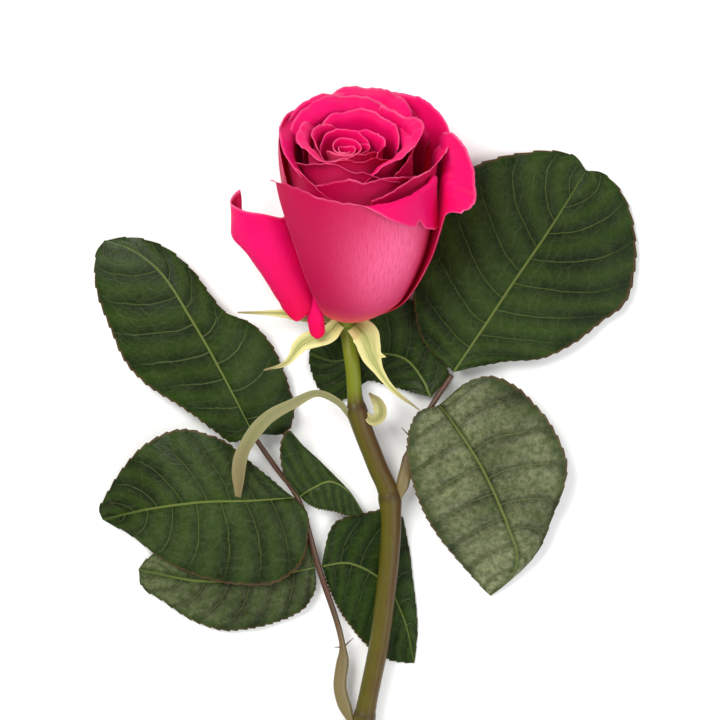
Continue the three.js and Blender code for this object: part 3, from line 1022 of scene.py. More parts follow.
@dataclass
class ScrollPetal:
    """An outer petal that has let go of the cup and rolled back along its length."""

    name: str
    path: list[Place]
    reach: tuple[float, ...]
    arc: tuple[float, float]
    lean: float
    seed: int
    slant: float = 0.0
    bump: float = 0.0
    rows: int = 50
    columns: int = 40
    thickness: float = 0.34
    pale: float = 0.1
    marked_from: float = 0.35
    round_foot: float = 0.07
    edge_curl: float = 0.25
    wave: float = 0.05

    def build(self, habit: Habit, wardrobe: Wardrobe) -> None:
        """Makes and dresses the scroll.

        Args:
            habit: the plant's frame.
            wardrobe: dresses it.
        """
        line = Line(self.path)
        v = np.linspace(0, 1, self.rows) ** 1.15
        u = np.linspace(-1, 1, self.columns)
        centre, ahead = line.at(v), line.ahead(v)
        normal = level(ahead, np.full(len(v), math.radians(self.lean)))
        sideways = np.cross(ahead, normal)
        knots = tuple(np.linspace(0, 1, len(self.reach)))
        radius = through(knots, self.reach, v) * np.sqrt(np.clip(v / self.round_foot, 0.02, 1))
        first, last = (math.radians(a) for a in self.arc)
        angle = first + (last - first) * (u + 1) / 2
        curl = 1 - self.edge_curl * np.abs(u) ** 3
        wobble = 1 + self.wave * ripple(self.seed, v, 3)[:, None]
        wobble = wobble + self.wave * ripple(self.seed + 1, u / 2, 3)[None] * v[:, None]
        bulge = self.bump * np.exp(-(((v - 0.76) / 0.09) ** 2))[:, None] * np.exp(-(((u + 0.5) / 0.3) ** 2))[None]
        wobble = wobble * (1 + bulge)
        across = (np.sin(angle) * curl)[None] * radius[:, None] * wobble
        above = ((np.cos(angle) - 1) * curl)[None] * radius[:, None] * wobble
        grid = centre[:, None] + sideways[:, None] * across[..., None] + normal[:, None] * above[..., None]
        top = 0.9 * ripple(self.seed + 2, u / 2, 3) - self.slant * (u + 0.4)
        grid = habit.placed(grid + ahead[:, None] * (top[None] * (v**3)[:, None])[..., None])[:, ::-1]
        marks = woven(u, self.marked_from + (1 - self.marked_from) * v)
        marks["pale"] = np.full(grid.shape[:2], self.pale)
        wardrobe.blade(self.name, grid, np.full(grid.shape[:2], self.thickness), marks, Slot.PETAL)


@dataclass
class Whorl:
    """The innermost petal, rolled up on itself in the middle of the flower."""

    name: str
    shell: float
    around: float
    turns: float = 2.7
    top: float = 0.87
    shift: float = -2.5
    last_radius: float = 1.1
    rows: int = 30
    columns: int = 230
    thickness: float = 0.26
    pale: float = 0.3
    marked_width: float = 0.9

    def build(self, habit: Habit, wardrobe: Wardrobe) -> None:
        """Makes and dresses the whorl.

        Args:
            habit: the flower's frame and shells.
            wardrobe: dresses it.
        """
        u, v = np.linspace(0, 1, self.columns), np.linspace(0, 1, self.rows)
        depth = self.shell * habit.petal_pitch
        start = habit.claw_share(depth)
        rim = self.top - 0.035 * u + 0.01 * ripple(26, u * 3, 7, 0.6)
        rim = rim - 0.05 * smooth(u, 0.06, 0) - 0.04 * smooth(u, 0.94, 1)
        radius, height = habit.shell(depth, start + (rim[None] - start) * v[:, None])
        shrink = 1 - (1 - self.last_radius / radius[-1:]) * u[None] ** 0.85
        radius = np.maximum(radius * shrink, 0.5) + 0.5 * smooth(v, 0.9, 1)[:, None] * (1 - u[None])
        grid = habit.in_flower(radius, self.around + 360 * self.turns * u[None], height)
        grid = grid + habit.side * (self.shift * smooth(v, 0.2, 0.9))[:, None, None]
        marks = woven((2 * u - 1) * self.marked_width, v)
        marks["pale"] = np.full(radius.shape, self.pale)
        wardrobe.blade(self.name, habit.placed(grid), np.full(radius.shape, self.thickness), marks, Slot.PETAL)


@dataclass
class Bloom:
    """All the petals, from the loose ones outside to the rolled bud."""

    habit: Habit
    first_seed: int = 3

    def petals(self) -> list[Petal]:
        """Lists the petals that still hold the cup.

        Returns:
            The petals, outermost first.
        """
        return [
            # petal_front: its strong pale wash, set on its right side, is a painted highlight where the light
            # falls. Its left, without the wash, stays dark crimson as painted shade.
            Petal(
                "petal_front", 0, 5, 66, 0.82, waist=(0.83, 1.0), pale=0.95, pale_at=(0.35, 0.6),
                rim=(0.825, 0.83, 0.825, 0.815, 0.82, 0.86, 0.93, 0.99, 1.05),
                turn=((80, 20, 20, 20, 60, 150, 175, 182, 186), (3, 2, 1.5, 1.5, 2.5, 6, 11, 16, 20)),
                turn_bend=2.8, side_lift=(1.7, 0), nick=(0.62, 0.03, 0.05), rows=110, columns=90,
            ),
            Petal(
                "petal_guard_right", 0.4, 85, 25, 0.88, lift=2, side_lift=(5, 0), flare=1, waist=(1.2, 1.6),
                rim=(0.77, 0.85, 0.89, 0.9, 0.86), turn=((75, 100, 100, 75, 50), (8, 11, 11, 8, 5)),
                turn_bend=7, pale=0.2, rows=70, columns=60,
            ),
            Petal("petal_guard_back", 0, 168, 44, 0.88, lift=-1, flare=2, turn=((45, 60, 45), (6, 5, 6))),
            # petal_guard_left: no pale wash, so its outside stays dark crimson as painted shade.
            Petal("petal_guard_left", 1, 247, 50, 0.9, lift=-1.2, pale=0.0, turn=((12, 6, 20), (3, 2, 4))),
            Petal(
                "petal_back_right", 2, 126, 38, 0.9, lift=5.2, flare=1.5, rim=(0.82, 0.88, 0.9, 0.87),
                turn=((25, 10, 15, 40), (4, 3, 3, 4)),
            ),
            Petal("petal_back_left", 3, 208, 50, 0.92, lift=-1.8, flare=1, turn=((40, 50, 40), (4, 4, 4))),
            Petal(
                "petal_side_right", 3, 60, 46, 0.86, lift=3.4, lift_from=-0.4, rim=(0.8, 0.835, 0.86, 0.86),
                turn=((20, 20, 30, 55), (3, 3, 4, 7)),
            ),
            Petal("petal_side_left", 4, 292, 54, 0.84, lift=-1, turn=((50, 35, 20), (4, 3, 3))),
            Petal(
                "petal_crown_back", 4, 168, 44, 0.975, shoulder=0.12, lift=-0.6, turn=((60, 95, 70), (5, 8, 5)),
            ),
            Petal("petal_crown_front", 5, 14, 56, 0.865, lift=-1, turn=((20, 25, 50), (3, 3, 5)), wave=0.8),
            Petal("petal_crown_left", 6, 252, 58, 0.92, lift=-0.6, turn=((60, 70, 50), (6, 7, 5))),
            Petal(
                "petal_crown_right", 6.6, 100, 56, 0.92, lift=-1.2, rim=(0.86, 0.9, 0.975, 0.92, 0.92),
                turn=((30, 40, 70, 50, 45), (4, 4, 6, 4, 4)),
            ),
            Petal("petal_inner_front", 8, 345, 60, 0.915, turn=((60, 55, 60), (5, 4, 5)), wave=0.8),
            Petal("petal_inner_back", 9, 200, 62, 0.965, turn=((70, 80, 70), (6, 7, 6)), wave=0.8),
            Petal("petal_inner_right", 10, 75, 64, 0.945, turn=((60, 75, 60), (5, 6, 5)), wave=0.8),
            Petal("petal_inner_left", 11, 290, 66, 0.95, turn=((60, 75, 50), (5, 6, 4)), wave=0.8),
            Petal("petal_heart_back", 12, 165, 70, 0.925, turn=((40, 60, 40), (3, 4, 3)), wave=0.9),
            Petal(
                "petal_heart_front", 13.2, 8, 74, 0.89, tip=0.03, turn=((40, 55, 40), (3, 3, 3)), shift=-0.6,
                wave=0.9,
            ),
            Petal("petal_heart_left", 14.1, 262, 74, 0.905, turn=((30, 50, 30), (3, 3, 3)), shift=-1, wave=0.9),
            Petal("petal_heart_right", 15, 110, 82, 0.88, turn=((30, 50, 30), (2, 3, 2)), shift=-1.4, wave=0.9),
            Petal("petal_core_front", 16, 20, 92, 0.872, tip=0.035, turn=((20, 45, 20), (2, 2.5, 2)), shift=-1.9),
            Petal("petal_core_back", 17, 200, 100, 0.875, turn=((20, 40, 20), (2, 2, 2)), shift=-2.2),
            Petal("petal_core_right", 18.1, 50, 118, 0.865, turn=((10, 30, 10), (2, 2, 2)), shift=-2.4),
        ]

    def build(self, wardrobe: Wardrobe) -> None:
        """Makes every petal.

        Args:
            wardrobe: dresses them.
        """
        for seed, petal in enumerate(self.petals(), self.first_seed):
            replace(petal, seed=seed).build(self.habit, wardrobe)
        Whorl("petal_core_bud", 19.3, 250).build(self.habit, wardrobe)
        ScrollPetal(
            "petal_loose_large",
            [
                (-15.2, 3, 18), (-15.9, 9, 21), (-20, 19, 25.5), (-24.6, 28, 28.5), (-27, 34.5, 29.6),
                (-27.8, 39.5, 29.6),
            ],
            (4.6, 6.3, 7.4, 8.5, 8.4), (-128, 112), lean=-8, seed=41, slant=5.0, bump=0.3,
        ).build(self.habit, wardrobe)
        ScrollPetal(
            "petal_loose_small",
            [(-9, -2.6, 16), (-9.8, 3, 17.5), (-11, 12, 18.5)],
            (2.4, 2.9, 3.2), (-120, 90), lean=-10, seed=44, rows=24, columns=24,
        ).build(self.habit, wardrobe)


# ------------------------------------------------------------------ leaves, sepals and bracts


@dataclass
class Leaflet:
    """A leaflet with its own outline, quilted between sunken veins and toothed at its margin."""

    name: str
    midrib: list[Place]
    left: list[tuple[float, float]]
    right: list[tuple[float, float]]
    droop: tuple[float, float] = (14.0, 14.0)
    pucker: float = 0.3
    teeth: int = 26
    tooth: float = 0.55
    wave: float = 0.5
    # How strongly the painted highlight shows on this leaflet's upper skin.
    painted_gloss: float = 0.06
    seed: int = 1
    rows: int = 150
    columns: int = 64
    thickness: float = 0.34
    edge_thinning: float = 0.12
    narrowest: float = 0.4
    groove: tuple[float, float] = (0.5, 1.1)
    clear: float = 0.22

    def margin(
        self, outline: list[tuple[float, float]], centre: np.ndarray, v: np.ndarray
    ) -> tuple[np.ndarray, np.ndarray]:
        """Measures one half of the leaflet.

        Args:
            outline: the points of its margin between the foot and the tip.
            centre: the midrib's points.
            v: their shares of its length.

        Returns:
            The directions from the midrib to the margin, and how far the toothed margin is.
        """
        foot, tip = self.midrib[0], self.midrib[-1]
        edge = Line([(x, y, 0) for x, y in (foot[:2], *outline, tip[:2])]).at(v)[:, :2]
        span = edge - centre[:, :2]
        reach = np.linalg.norm(span, axis=1)
        teeth = self.tooth * (1 - (v * self.teeth * (1.4 - 0.4 * v) % 1.0)) * smooth(v, 0.03, 0.1)
        return span / np.maximum(reach, self.narrowest)[:, None], np.maximum(reach, 0.25) + teeth

    def relief(self, u: np.ndarray, v: np.ndarray, offset: np.ndarray) -> np.ndarray:
        """Lifts the skin between the side veins, sinks the midrib and sways the halves.

        Args:
            u: places across, from -1 to 1.
            v: places along, from 0 to 1.
            offset: how far each point stands from the midrib.

        Returns:
            The heights above the leaflet's smooth shape.
        """
        out = np.abs(u)[None]
        row = (v[:, None] - LeafFinish.sweep * out**LeafFinish.sweep_bend) * LeafFinish.pairs
        hump = np.sin(np.pi * ((row + LeafFinish.hand_shift * (u[None] > 0)) % 1.0)) ** 0.7
        quilt = self.pucker * (hump - 0.5) * smooth(out, 0.02, 0.25) * (1 - out**4) * (1 - v[:, None] ** 4)
        depth, width = self.groove
        groove = -depth * np.exp(-((offset / width) ** 2)) * (1 - v[:, None])
        sway = self.wave * ripple(self.seed, v, 4, 1.2)[:, None] * u[None] ** 2 * np.sign(u)[None]
        sway = sway + self.wave * ripple(self.seed + 3, v, 4, 2.6)[:, None] * out**3
        wander = self.wave * ripple(self.seed + 7, v, 3, 0.9) * smooth(v, 0, 0.2) * 0.6
        return wander[:, None] + quilt + groove + sway * smooth(v, 0, 0.2)[:, None]

    def build(self, habit: Habit, wardrobe: Wardrobe) -> None:
        """Makes and dresses the leaflet.

        Args:
            habit: the plant's frame.
            wardrobe: dresses it.
        """
        v = np.linspace(0, 1, self.rows)
        even = np.linspace(-1, 1, self.columns)
        u = np.sin(even * np.pi / 2) * 0.35 + even * 0.65
        centre = Line(self.midrib).at(v)
        halves = [self.margin(outline, centre, v) for outline in (self.left, self.right)]
        (left_way, left_reach), (right_way, right_reach) = halves
        leftward = (u < 0)[None]
        width = np.where(leftward, left_reach[:, None], right_reach[:, None])
        towards = np.where(leftward[..., None], left_way[:, None], right_way[:, None])
        offset = u[None] * width
        droop = np.where(leftward, *(math.tan(math.radians(d)) for d in self.droop))
        grid = np.empty((len(v), len(u), 3))
        grid[..., :2] = centre[:, None, :2] + towards * np.abs(offset)[..., None]
        grid[..., 2] = centre[:, None, 2] + self.relief(u, v, offset) - droop * width * u[None] ** 2 / 2
        grid[..., 2] = np.maximum(grid[..., 2], self.clear + 0.05 * np.abs(u)[None])
        marks = {**woven(u, v), "offset": offset, "painted_gloss": np.full(offset.shape, self.painted_gloss)}
        thickness = np.broadcast_to(self.thickness - self.edge_thinning * np.abs(u)[None], offset.shape)
        wardrobe.blade(self.name, habit.placed(grid), thickness, marks, Slot.LEAF)


@dataclass
class Ribbon:
    """A sepal or bract: a narrow blade that tapers to a thread, with small side lobes if it asks."""

    name: str
    path: list[np.ndarray | Place]
    widths: tuple[float, ...]
    roll: tuple[float, float] = (0.0, 0.0)
    cup: float = 0.5
    lobes: tuple[float, ...] = ()
    lobe: float = 2.4
    lobe_width: float = 0.018
    seed: int = 1
    rows: int = 90
    columns: int = 16
    aged: float = 0.0
    thread: float = 0.16
    thickness: float = 0.42
    edge_thinning: float = 0.2

    def build(self, habit: Habit, wardrobe: Wardrobe) -> None:
        """Makes and dresses the ribbon.

        Args:
            habit: the plant's frame.
            wardrobe: dresses it.
        """
        line = Line(self.path)
        v, u = np.linspace(0, 1, self.rows), np.linspace(-1, 1, self.columns)
        centre, ahead = line.at(v), line.ahead(v)
        normal = level(ahead, np.radians(self.roll[0] + (self.roll[1] - self.roll[0]) * v))
        sideways = np.cross(normal, ahead)
        knots = tuple(np.linspace(0, 1, len(self.widths)))
        width = np.maximum(through(knots, self.widths, v), self.thread)
        width = width * (1 + 0.06 * ripple(self.seed, v, 4, 2.0))
        offset = u[None] * width[:, None]
        spring = np.zeros_like(offset)
        for order, place in enumerate(self.lobes):
            hand = 1 if order % 2 else -1
            bump = np.exp(-(((v - place) / self.lobe_width) ** 2))[:, None] * smooth(hand * u, 0.3, 1)[None]
            offset = offset + hand * self.lobe * bump
            spring = spring + 0.8 * self.lobe * bump
        lift = self.cup * (u[None] ** 2) * width[:, None] + 0.25 * ripple(self.seed + 3, v, 4)[:, None] * u[None]
        grid = centre[:, None] + sideways[:, None] * -offset[..., None] + normal[:, None] * lift[..., None]
        grid = habit.placed(grid + ahead[:, None] * spring[..., None])
        marks = {**woven(u, v), "aged": np.full(offset.shape, self.aged)}
        thickness = np.broadcast_to(self.thickness - self.edge_thinning * np.abs(u)[None], offset.shape)
        wardrobe.blade(self.name, grid, thickness, marks, Slot.SEPAL)


@dataclass
class Collar:
    """The five sepals round the receptacle and the two bracts at the node below it."""

    habit: Habit
    first_seed: int = 61

    def start(self, angle: float) -> np.ndarray:
        """Where a sepal leaves the hip, at an angle about the flower's axis."""
        return self.habit.in_flower(self.habit.hip_radius + 0.3, angle, -1.6)

    def tucked(self, angle: float, depth: float, shares: tuple[float, ...]) -> list[np.ndarray]:
        """Places the middle of a sepal that lies under the cup.

        Args:
            angle: degrees round the flower's axis.
            depth: how far inside the outermost shell it lies; outside it where below 0.
            shares: shares of the shell's length.

        Returns:
            The points of its middle.
        """
        spots = (self.habit.shell(depth, np.array(share)) for share in shares)
        return [self.habit.in_flower(radius, angle, height) for radius, height in spots]

    def build(self, wardrobe: Wardrobe) -> None:
        """Makes the sepals and the bracts.

        Args:
            wardrobe: dresses them.
        """
        ribbons = [
            Ribbon(
                "sepal_front_right",
                [self.start(38), (5.2, -1.6, 13.6), (7.6, -9.5, 12.6), (13, -18, 12), (21.5, -25, 11.5)],
                (2.8, 4.0, 3.0, 1.5, 0.9, 0.5, 0.2), roll=(0, 20), cup=0.35, lobes=(0.36,), lobe=1.3,
            ),
            Ribbon(
                "sepal_left",
                [self.start(-48), (-6, -1.6, 12.6), (-13.5, -4.4, 12.6), (-18.5, -10.5, 12), (-25.2, -13, 10.8)],
                (2.2, 2.8, 2.6, 2.2, 1.2, 0.5, 0.2), cup=0.3,
            ),
            Ribbon(
                "sepal_back_left",
                [self.start(-104), (-12, 3.4, 8), (-22, 4.2, 9.6), (-33, 4.6, 11.4)],
                (2, 2.2, 1.4, 0.6, 0.2), cup=0.3,
            ),
            Ribbon(
                "sepal_back", self.tucked(182, -1.2, (0.02, 0.05, 0.08, 0.11)),
                (1.8, 2.2, 1.8, 0.8, 0.2), cup=-0.2,
            ),
            Ribbon(
                "sepal_back_right", self.tucked(135, -2.4, (0.01, 0.06, 0.11, 0.16)),
                (1.4, 1.8, 1.5, 0.8, 0.2), cup=-0.2,
            ),
            Ribbon(
                "bract_long",
                [
                    (0.6, -27.2, 8.4), (-3, -22.6, 10.6), (-9.3, -19.6, 13), (-16, -22.4, 13.8),
                    (-24.5, -27.5, 13.6), (-31.5, -38, 12.2), (-33, -51.5, 11),
                ],
                (0.8, 0.9, 1.1, 1.5, 1.8, 2.0, 2.1, 2.2, 0.9), roll=(0, 25), rows=120, aged=0.85,
            ),
            Ribbon(
                "bract_curled",
                [(5, -26.6, 8.4), (7.6, -28.4, 10), (9.8, -26.6, 11.4), (9.6, -23, 12.2), (6.4, -19.6, 12)],
                (0.8, 1.4, 1.8, 2.0, 1.6, 0.5), roll=(-10, -30), aged=0.4,
            ),
        ]
        for seed, ribbon in enumerate(ribbons, self.first_seed):
            replace(ribbon, seed=seed).build(self.habit, wardrobe)


@dataclass
class Foliage:
    """Two compound leaves: their stalks with winged feet, and their leaflets."""

    habit: Habit
    left_low: Place = (-9, -74.2, 4.6)
    left_high: Place = (-15.3, -52.8, 5.2)
    left_end: Place = (-28.3, -34, 6)
    right_pair: Place = (26.1, -23, 6.6)
    right_end: Place = (31.2, -15.2, 6.6)
    first_seed: int = 71
    awn_radii: tuple[float, float] = (0.34, 0.08)
    wing_flat: float = 0.6
    toe: float = 0.35

    def leaflets(self) -> list[Leaflet]:
        """Lists the leaflets, the left leaf's five first.

        Returns:
            The eight leaflets.
        """
        return [
            Leaflet(
                "leaflet_left_end",
                [
                    (-28.6, -33, 6.4), (-37, -16, 8), (-46, 0.5, 8.6), (-56.4, 16.2, 6), (-65.4, 22.6, 3),
                    (-73.2, 24.8, 0.8),
                ],
                [
                    (-34.8, -35.6), (-40, -32), (-49, -25.3), (-59.4, -18.7), (-66.3, -11.7), (-71.4, -1),
                    (-75.3, 9.6), (-76, 16.2), (-75.2, 21.8),
                ],
                [
                    (-19, -33), (-16.5, -27), (-18, -19), (-23.4, -6), (-29.4, 0.5), (-37, 4), (-42, 10),
                    (-47.4, 17), (-55, 23), (-64, 25.8),
                ],
                (14, 22),
            ),
            Leaflet(
                "leaflet_left_upper",
                [
                    (-16.3, -52.8, 6.2), (-29.4, -53, 10), (-44.4, -53.4, 9.8), (-59.4, -56, 6.2),
                    (-74.4, -60.3, 0.9),
                ],
                [
                    (-12.5, -57), (-12.3, -63.3), (-14.4, -72.4), (-22, -78.5), (-32.4, -79.2), (-44.4, -77),
                    (-55, -72.4), (-67, -64),
                ],
                [
                    (-22, -48), (-32.4, -39), (-37, -35.2), (-43, -32.9), (-50.4, -31.8), (-61, -36.6),
                    (-68.4, -45), (-73, -52.7), (-75.2, -57.4),
                ],
                (12, 14), painted_gloss=0.1,
            ),
            Leaflet(
                "leaflet_left_lower",
                [(-10, -74.6, 4.2), (-26.4, -78, 3.6), (-44.4, -79, 3), (-63.6, -75.9, 0.8)],
                [
                    (-9.9, -80.5), (-13, -86.6), (-17.4, -89.8), (-29.4, -93.5), (-38.4, -94.1), (-47.4, -91.1),
                    (-56.4, -85), (-62.4, -81),
                ],
                [(-12.3, -65.3), (-20.4, -63.8), (-32.4, -65.3), (-50.4, -68.3), (-59.4, -71.4)],
                (8, 6), painted_gloss=0.34,
            ),
            Leaflet(
                "leaflet_inner_upper",
                [
                    (-14.6, -52.4, 5.9), (-10.8, -49.6, 7.8), (-5.4, -47.5, 7.6), (0, -50.6, 5.6),
                    (4.5, -57.8, 3.2),
                ],
                [(-19.2, -45), (-20.1, -36), (-18, -31.6), (-13.8, -36), (-5.4, -44.5), (0.6, -51.2)],
                [(-10, -55.2), (-4, -56.8), (1.2, -58.6)],
                (-12, 10), teeth=20,
            ),
            Leaflet(
                "leaflet_inner_lower",
                [(-8, -74.3, 3.8), (0.6, -73.6, 2.9), (11, -79.6, 2.4), (17, -91, 1.7), (20.1, -104.8, 0.7)],
                [(-7, -69), (-4, -61.4), (3.6, -58.7), (15, -58), (18, -67), (19.6, -79), (21, -94)],
                [(-4, -85), (0.6, -92.7), (7.2, -100.3), (13.2, -103.8)],
                (6, 4), wave=0.25, pucker=0.3, painted_gloss=0.02,
            ),
            Leaflet(
                "leaflet_right_end",
                [(31.7, -14.2, 6.8), (41, 0, 7.4), (50.1, 14, 7.6), (60.6, 29.3, 5.6), (71.4, 46, 0.9)],
                [
                    (23, -5), (20.4, 3.5), (20, 11), (23.5, 22), (28.2, 31.5), (33.6, 40.5), (37.2, 47),
                    (44, 49.8), (51.6, 51.3), (60.6, 52), (68, 50.2),
                ],
                [
                    (39.6, -12.3), (48.6, -10.8), (57.6, -10.2), (68, -5.3), (75.6, 0.5), (83, 6.5), (85.8, 15.6),
                    (86.2, 23.2), (84.6, 33.3), (81, 40.8), (75.6, 45.4),
                ],
                (10, 12),
            ),
            Leaflet(
                "leaflet_right_front",
                [
                    (27.4, -24, 8.6), (32, -29.6, 11.6), (40.2, -42.3, 13.6), (48.6, -61.8, 10.2),
                    (51.2, -71.8, 6.4), (48, -79.4, 3), (43.2, -83.9, 0.8),
                ],
                [
                    (35, -17.4), (42.3, -15), (49.8, -17.7), (56, -23.8), (61.2, -30.5), (65.7, -41.7),
                    (64.5, -50.5), (62, -57.2), (58, -68), (51.8, -76.3),
                ],
                [(21.3, -26), (18, -34.7), (19.5, -46.6), (22.8, -56), (26.7, -63.3), (34.2, -73.3)],
                (14, 16), pucker=0.6, painted_gloss=0.62,
            ),
            Leaflet(
                "leaflet_under_flower",
                [
                    (24.8, -22, 5.6), (22.4, -16.9, 3.4), (17, -10.8, 2.6), (6.6, -9.3, 2.1), (-4, -11.7, 1.6),
                    (-11.7, -9.3, 1.2),
                ],
                [
                    (18.6, -20.5), (11, -18.4), (6.3, -17.5), (-1, -23.2), (-5.4, -22.6), (-8.7, -19.9),
                    (-11.1, -14.1),
                ],
                [(30, -16), (27.6, -7.8), (23, 2.9), (14, 8.9), (0.6, 5.9), (-8.4, -0.2)],
                (4, 3), wave=0.2, pucker=0.25,
            ),
        ]

    def build(self, wardrobe: Wardrobe, stem: "Stem") -> None:
        """Makes the leaflets, the stalks and the stipules' thin points.

        Args:
            wardrobe: dresses them.
            stem: the stem that carries the stalks.
        """
        for seed, leaflet in enumerate(self.leaflets(), self.first_seed):
            replace(leaflet, seed=seed).build(self.habit, wardrobe)
        low, high, end = self.left_low, self.left_high, self.left_end
        left = [stem.beside(-124, -1), (-2.4, -112, 5.8), (-1.6, -99.2, 5.4), low, high, (-21.9, -43.4, 5.6), end]
        right = [stem.beside(-53, 1), (17.6, -43.5, 7.2), (20.2, -33, 7), self.right_pair, self.right_end]
        self.stalk("leaf_stalk_left", left, 0.28, wardrobe)
        self.stalk("leaf_stalk_right", right, 0.4, wardrobe)
        awns = [
            ("leaf_stalk_left", [(-1.7, -99.6, 5.4), (-2.4, -98.9, 5.9), (-4.2, -98.8, 6.2)]),
            ("leaf_stalk_left", [(-1.5, -99.4, 5.4), (-0.2, -97.6, 5.9), (1.7, -95.9, 6.2)]),
            ("leaf_stalk_right", [(19.6, -35, 7.2), (18.2, -33.2, 7.8), (16.1, -30.8, 8.2)]),
        ]
        for order, (name, path) in enumerate(awns):
            line = Line([self.habit.placed(p) for p in path])
            wardrobe.dress(rod(f"{name}_awn_{order}", line, 16, 8, self.awn_reach, {}), Slot.STALK, name)

    def awn_reach(self, share: np.ndarray, angle: np.ndarray) -> np.ndarray:
        """The radius of a stipule's thin point, which tapers from foot to tip."""
        foot, tip = self.awn_radii
        return foot - (foot - tip) * share + 0 * angle

    def stalk(self, name: str, path: list[np.ndarray | Place], wing: float, wardrobe: Wardrobe) -> None:
        """Makes one leaf stalk with its winged foot.

        Args:
            name: its CAD node.
            path: the points of its middle.
            wing: the share of its length that its stipule takes.
            wardrobe: dresses it.
        """

        def reach(share: np.ndarray, angle: np.ndarray) -> np.ndarray:
            """The stalk's radius, broad and flat at its winged foot.

            Args:
                share: shares of its length.
                angle: angles round it in radians.

            Returns:
                The radius at each.
            """
            foot = 1 - smooth(share, wing * 0.75, wing)
            flat = 1 + self.wing_flat * foot * np.abs(np.sin(angle)) ** 3
            toe = self.toe + (1 - self.toe) * smooth(share, 0, wing * 0.3)
            return (1.0 - 0.25 * share) * (1 + 0.3 * foot) * flat * toe * (1 - 0.12 * np.cos(angle))

        piece = rod(name + "_rind", Line([self.habit.placed(p) for p in path]), 90, 20, reach, {})
        wardrobe.dress(piece, Slot.STALK, name)


@dataclass
class Stem:
    """The stem, its paler neck and the hip that carries the flower, grown as one."""

    habit: Habit
    lower_node: Place = (4.9, -121, 6)
    middle_node: Place = (12.6, -53.3, 7.2)
    upper_node: Place = (2.7, -25.9, 7.6)
    hip_length: float = 6.0
    node_length: float = 0.012
    crease_length: float = 0.0022
    crease: float = 0.12
    scar_length: float = 0.006
    rings: int = 420

    def __post_init__(self) -> None:
        """Lays the stem's middle line."""
        habit = self.habit
        seat = habit.receptacle - habit.axis * (habit.petal_wall / 2 + 0.05)
        cut = point(*habit.cut_end, habit.stem_radius + habit.rest_gap)
        lower, middle, upper = (point(*p) for p in (self.lower_node, self.middle_node, self.upper_node))
        neck = point(1.3, -12, upper[2] + (seat[2] - upper[2]) * 0.35)
        between = point(-3, (cut[1] + lower[1]) / 2, (cut[2] + lower[2]) / 2)
        below = seat - habit.axis * habit.neck_straight
        self.line = Line(
            [cut, between, lower, point(10.2, -92, 6.9), middle, point(8.4, -42, 7.4), upper, neck, below, seat],
        )

    def share_at(self, y: float) -> float:
        """The share of the stem's length at which it passes y."""
        shares = np.linspace(0, 1, 800)
        return float(shares[np.argmax(self.line.at(shares)[:, 1] >= y)])

    def beside(self, y: float, hand: int) -> np.ndarray:
        """A point at the stem's side, right of it (1) or left of it (-1)."""
        centre = self.line.at(np.array([self.share_at(y)]))[0]
        return centre + point(hand * (self.habit.stem_radius - 0.2), 0, 0.6)

    def build(self, wardrobe: Wardrobe) -> None:
        """Makes and dresses the stem.

        Args:
            wardrobe: dresses it.
        """
        habit = self.habit
        nodes = [self.share_at(n[1]) for n in (self.lower_node, self.middle_node, self.upper_node)]
        neck = nodes[2]
        hip = self.hip_length / self.line.length

        def reach(share: np.ndarray, angle: np.ndarray) -> np.ndarray:
            """The stem's radius: swollen at its nodes, thin at its neck and wide at the hip.

            Args:
                share: shares of its length.
                angle: angles round it in radians.

            Returns:
                The radius at each.
            """
            thinner = habit.pedicel_radius - habit.stem_radius
            grown = habit.stem_radius + thinner * smooth(share, neck - 0.02, neck + 0.03)
            for node in nodes:
                grown = grown + habit.node_swell * np.exp(-(((share - node) / self.node_length) ** 2))
                above = share - node - self.node_length
                grown = grown - self.crease * np.exp(-((above / self.crease_length) ** 2))
            grown = grown + (habit.hip_radius - habit.pedicel_radius) * smooth(share, 1 - hip, 1 - hip / 4)
            uneven = 0.06 * ripple(31, share * 3, 5) + 0.05 * np.cos(angle * 3 + share * 9)
            return grown + uneven * smooth(share, 0, 0.01)

        shares = np.linspace(0, 1, self.rings)
        below = (1 - shares) * self.line.length
        scar = sum(np.exp(-(((shares - node - self.scar_length) / self.scar_length) ** 2)) for node in nodes)
        samples = [*self.line.samples[:-1:8], self.line.samples[-1]]
        line = Line([habit.placed(sample) for sample in samples], 8)
        piece = rod("stem_bark", line, self.rings, 32, reach, {"below": below, "scar": scar})
        wardrobe.dress(piece, Slot.STEM, "stem")


# ------------------------------------------------------------------ table, light and camera


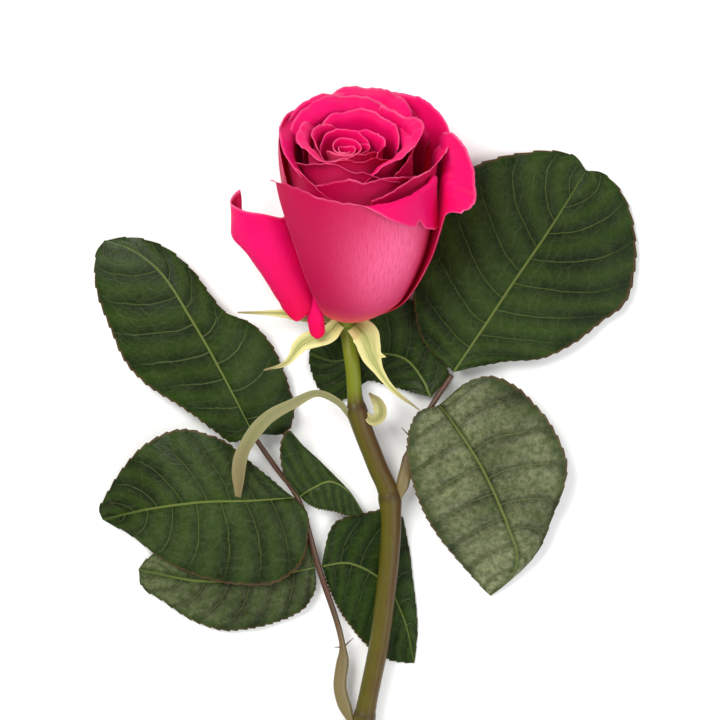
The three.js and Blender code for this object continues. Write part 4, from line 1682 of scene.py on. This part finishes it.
@dataclass
class Studio:
    """A pale table, soft lamps and the camera that looks down on the rose."""

    habit: Habit
    view_width: float = 216.0
    distance: float = 1500.0
    lean: float = 9.0
    look_at: tuple[float, float] = (3.6, -10.2)
    sensor: float = 36.0
    sight: float = 20.0
    room_light: float = 0.48
    table_half: float = 6.0
    table_thick: float = 0.02

    def build(self) -> None:
        """Makes the table, the lamps and the camera."""
        self.table()
        self.lamp("key_lamp", point(-420, 520, 900), 560, 12.5, (1.0, 0.985, 0.96))
        self.lamp("fill_lamp", point(620, -160, 700), 700, 4.0, (0.97, 0.985, 1.0))
        self.lamp("low_lamp", point(60, -780, 420), 520, 2.6, (1.0, 1.0, 1.0))
        self.sky()
        self.camera()

    def table(self) -> None:
        """Makes the table top."""
        size, thick = self.table_half, self.table_thick
        mesh = bpy.data.meshes.new("table_top")
        around = ((-size, -size), (size, -size), (size, size), (-size, size))
        corners = [(x, y, z) for z in (-thick, 0.0) for x, y in around]
        faces = [(0, 3, 2, 1), (4, 5, 6, 7), (0, 1, 5, 4), (1, 2, 6, 5), (2, 3, 7, 6), (3, 0, 4, 7)]
        mesh.from_pydata(corners, [], faces)
        floor = bpy.data.objects.new("table_top", mesh)
        bpy.context.scene.collection.objects.link(floor)
        floor.data.materials.append(TableFinish().build())

    def lamp(self, name: str, place: np.ndarray, size: float, power: float, colour: Colour) -> None:
        """Hangs a square soft lamp that faces the flower.

        Args:
            name: the lamp's name.
            place: where it hangs.
            size: its width.
            power: its power in watts.
            colour: its colour.
        """
        data = bpy.data.lights.new(name, "AREA")
        data.shape, data.size, data.energy, data.color = "SQUARE", size * MM, power, colour
        lamp = bpy.data.objects.new(name, data)
        bpy.context.scene.collection.objects.link(lamp)
        lamp.location = Vector(self.habit.placed(place) * MM)
        lamp.rotation_euler = (-Vector(place)).to_track_quat("-Z", "Y").to_euler()

    def sky(self) -> None:
        """Lights the room evenly."""
        world = bpy.data.worlds.new("room_light")
        world.use_nodes = True
        background = world.node_tree.nodes["Background"]
        background.inputs["Color"].default_value = (1, 1, 1, 1)
        background.inputs["Strength"].default_value = self.room_light
        bpy.context.scene.world = world
        bpy.context.scene.view_settings.view_transform = "Standard"

    def camera(self) -> None:
        """Sets the camera over the rose, leaning a little from its flower's side."""
        data = bpy.data.cameras.new("camera")
        data.sensor_width = self.sensor
        data.lens = data.sensor_width * self.distance / self.view_width
        data.clip_end = self.sight
        camera = bpy.data.objects.new("camera", data)
        bpy.context.scene.collection.objects.link(camera)
        target = point(*self.look_at, self.habit.receptacle[2])
        lean = math.radians(self.lean)
        back = point(0, math.sin(lean), math.cos(lean))
        right = point(1, 0, 0)
        up = np.cross(back, right)
        place = self.habit.placed(target + back * self.distance) * MM
        matrix = np.eye(4)
        matrix[:3, 0], matrix[:3, 1], matrix[:3, 2], matrix[:3, 3] = right, up, back, place
        camera.matrix_world = Matrix(matrix.tolist())
        bpy.context.scene.camera = camera


def main() -> None:
    """Builds the rose, then the studio round it."""
    logging.basicConfig(level=logging.INFO, format="%(name)s %(message)s")
    habit = Habit()
    wardrobe = Wardrobe()
    stem = Stem(habit)
    stem.build(wardrobe)
    Collar(habit).build(wardrobe)
    Foliage(habit).build(wardrobe, stem)
    Bloom(habit).build(wardrobe)
    Studio(habit).build()


if __name__ == "__main__":
    main()
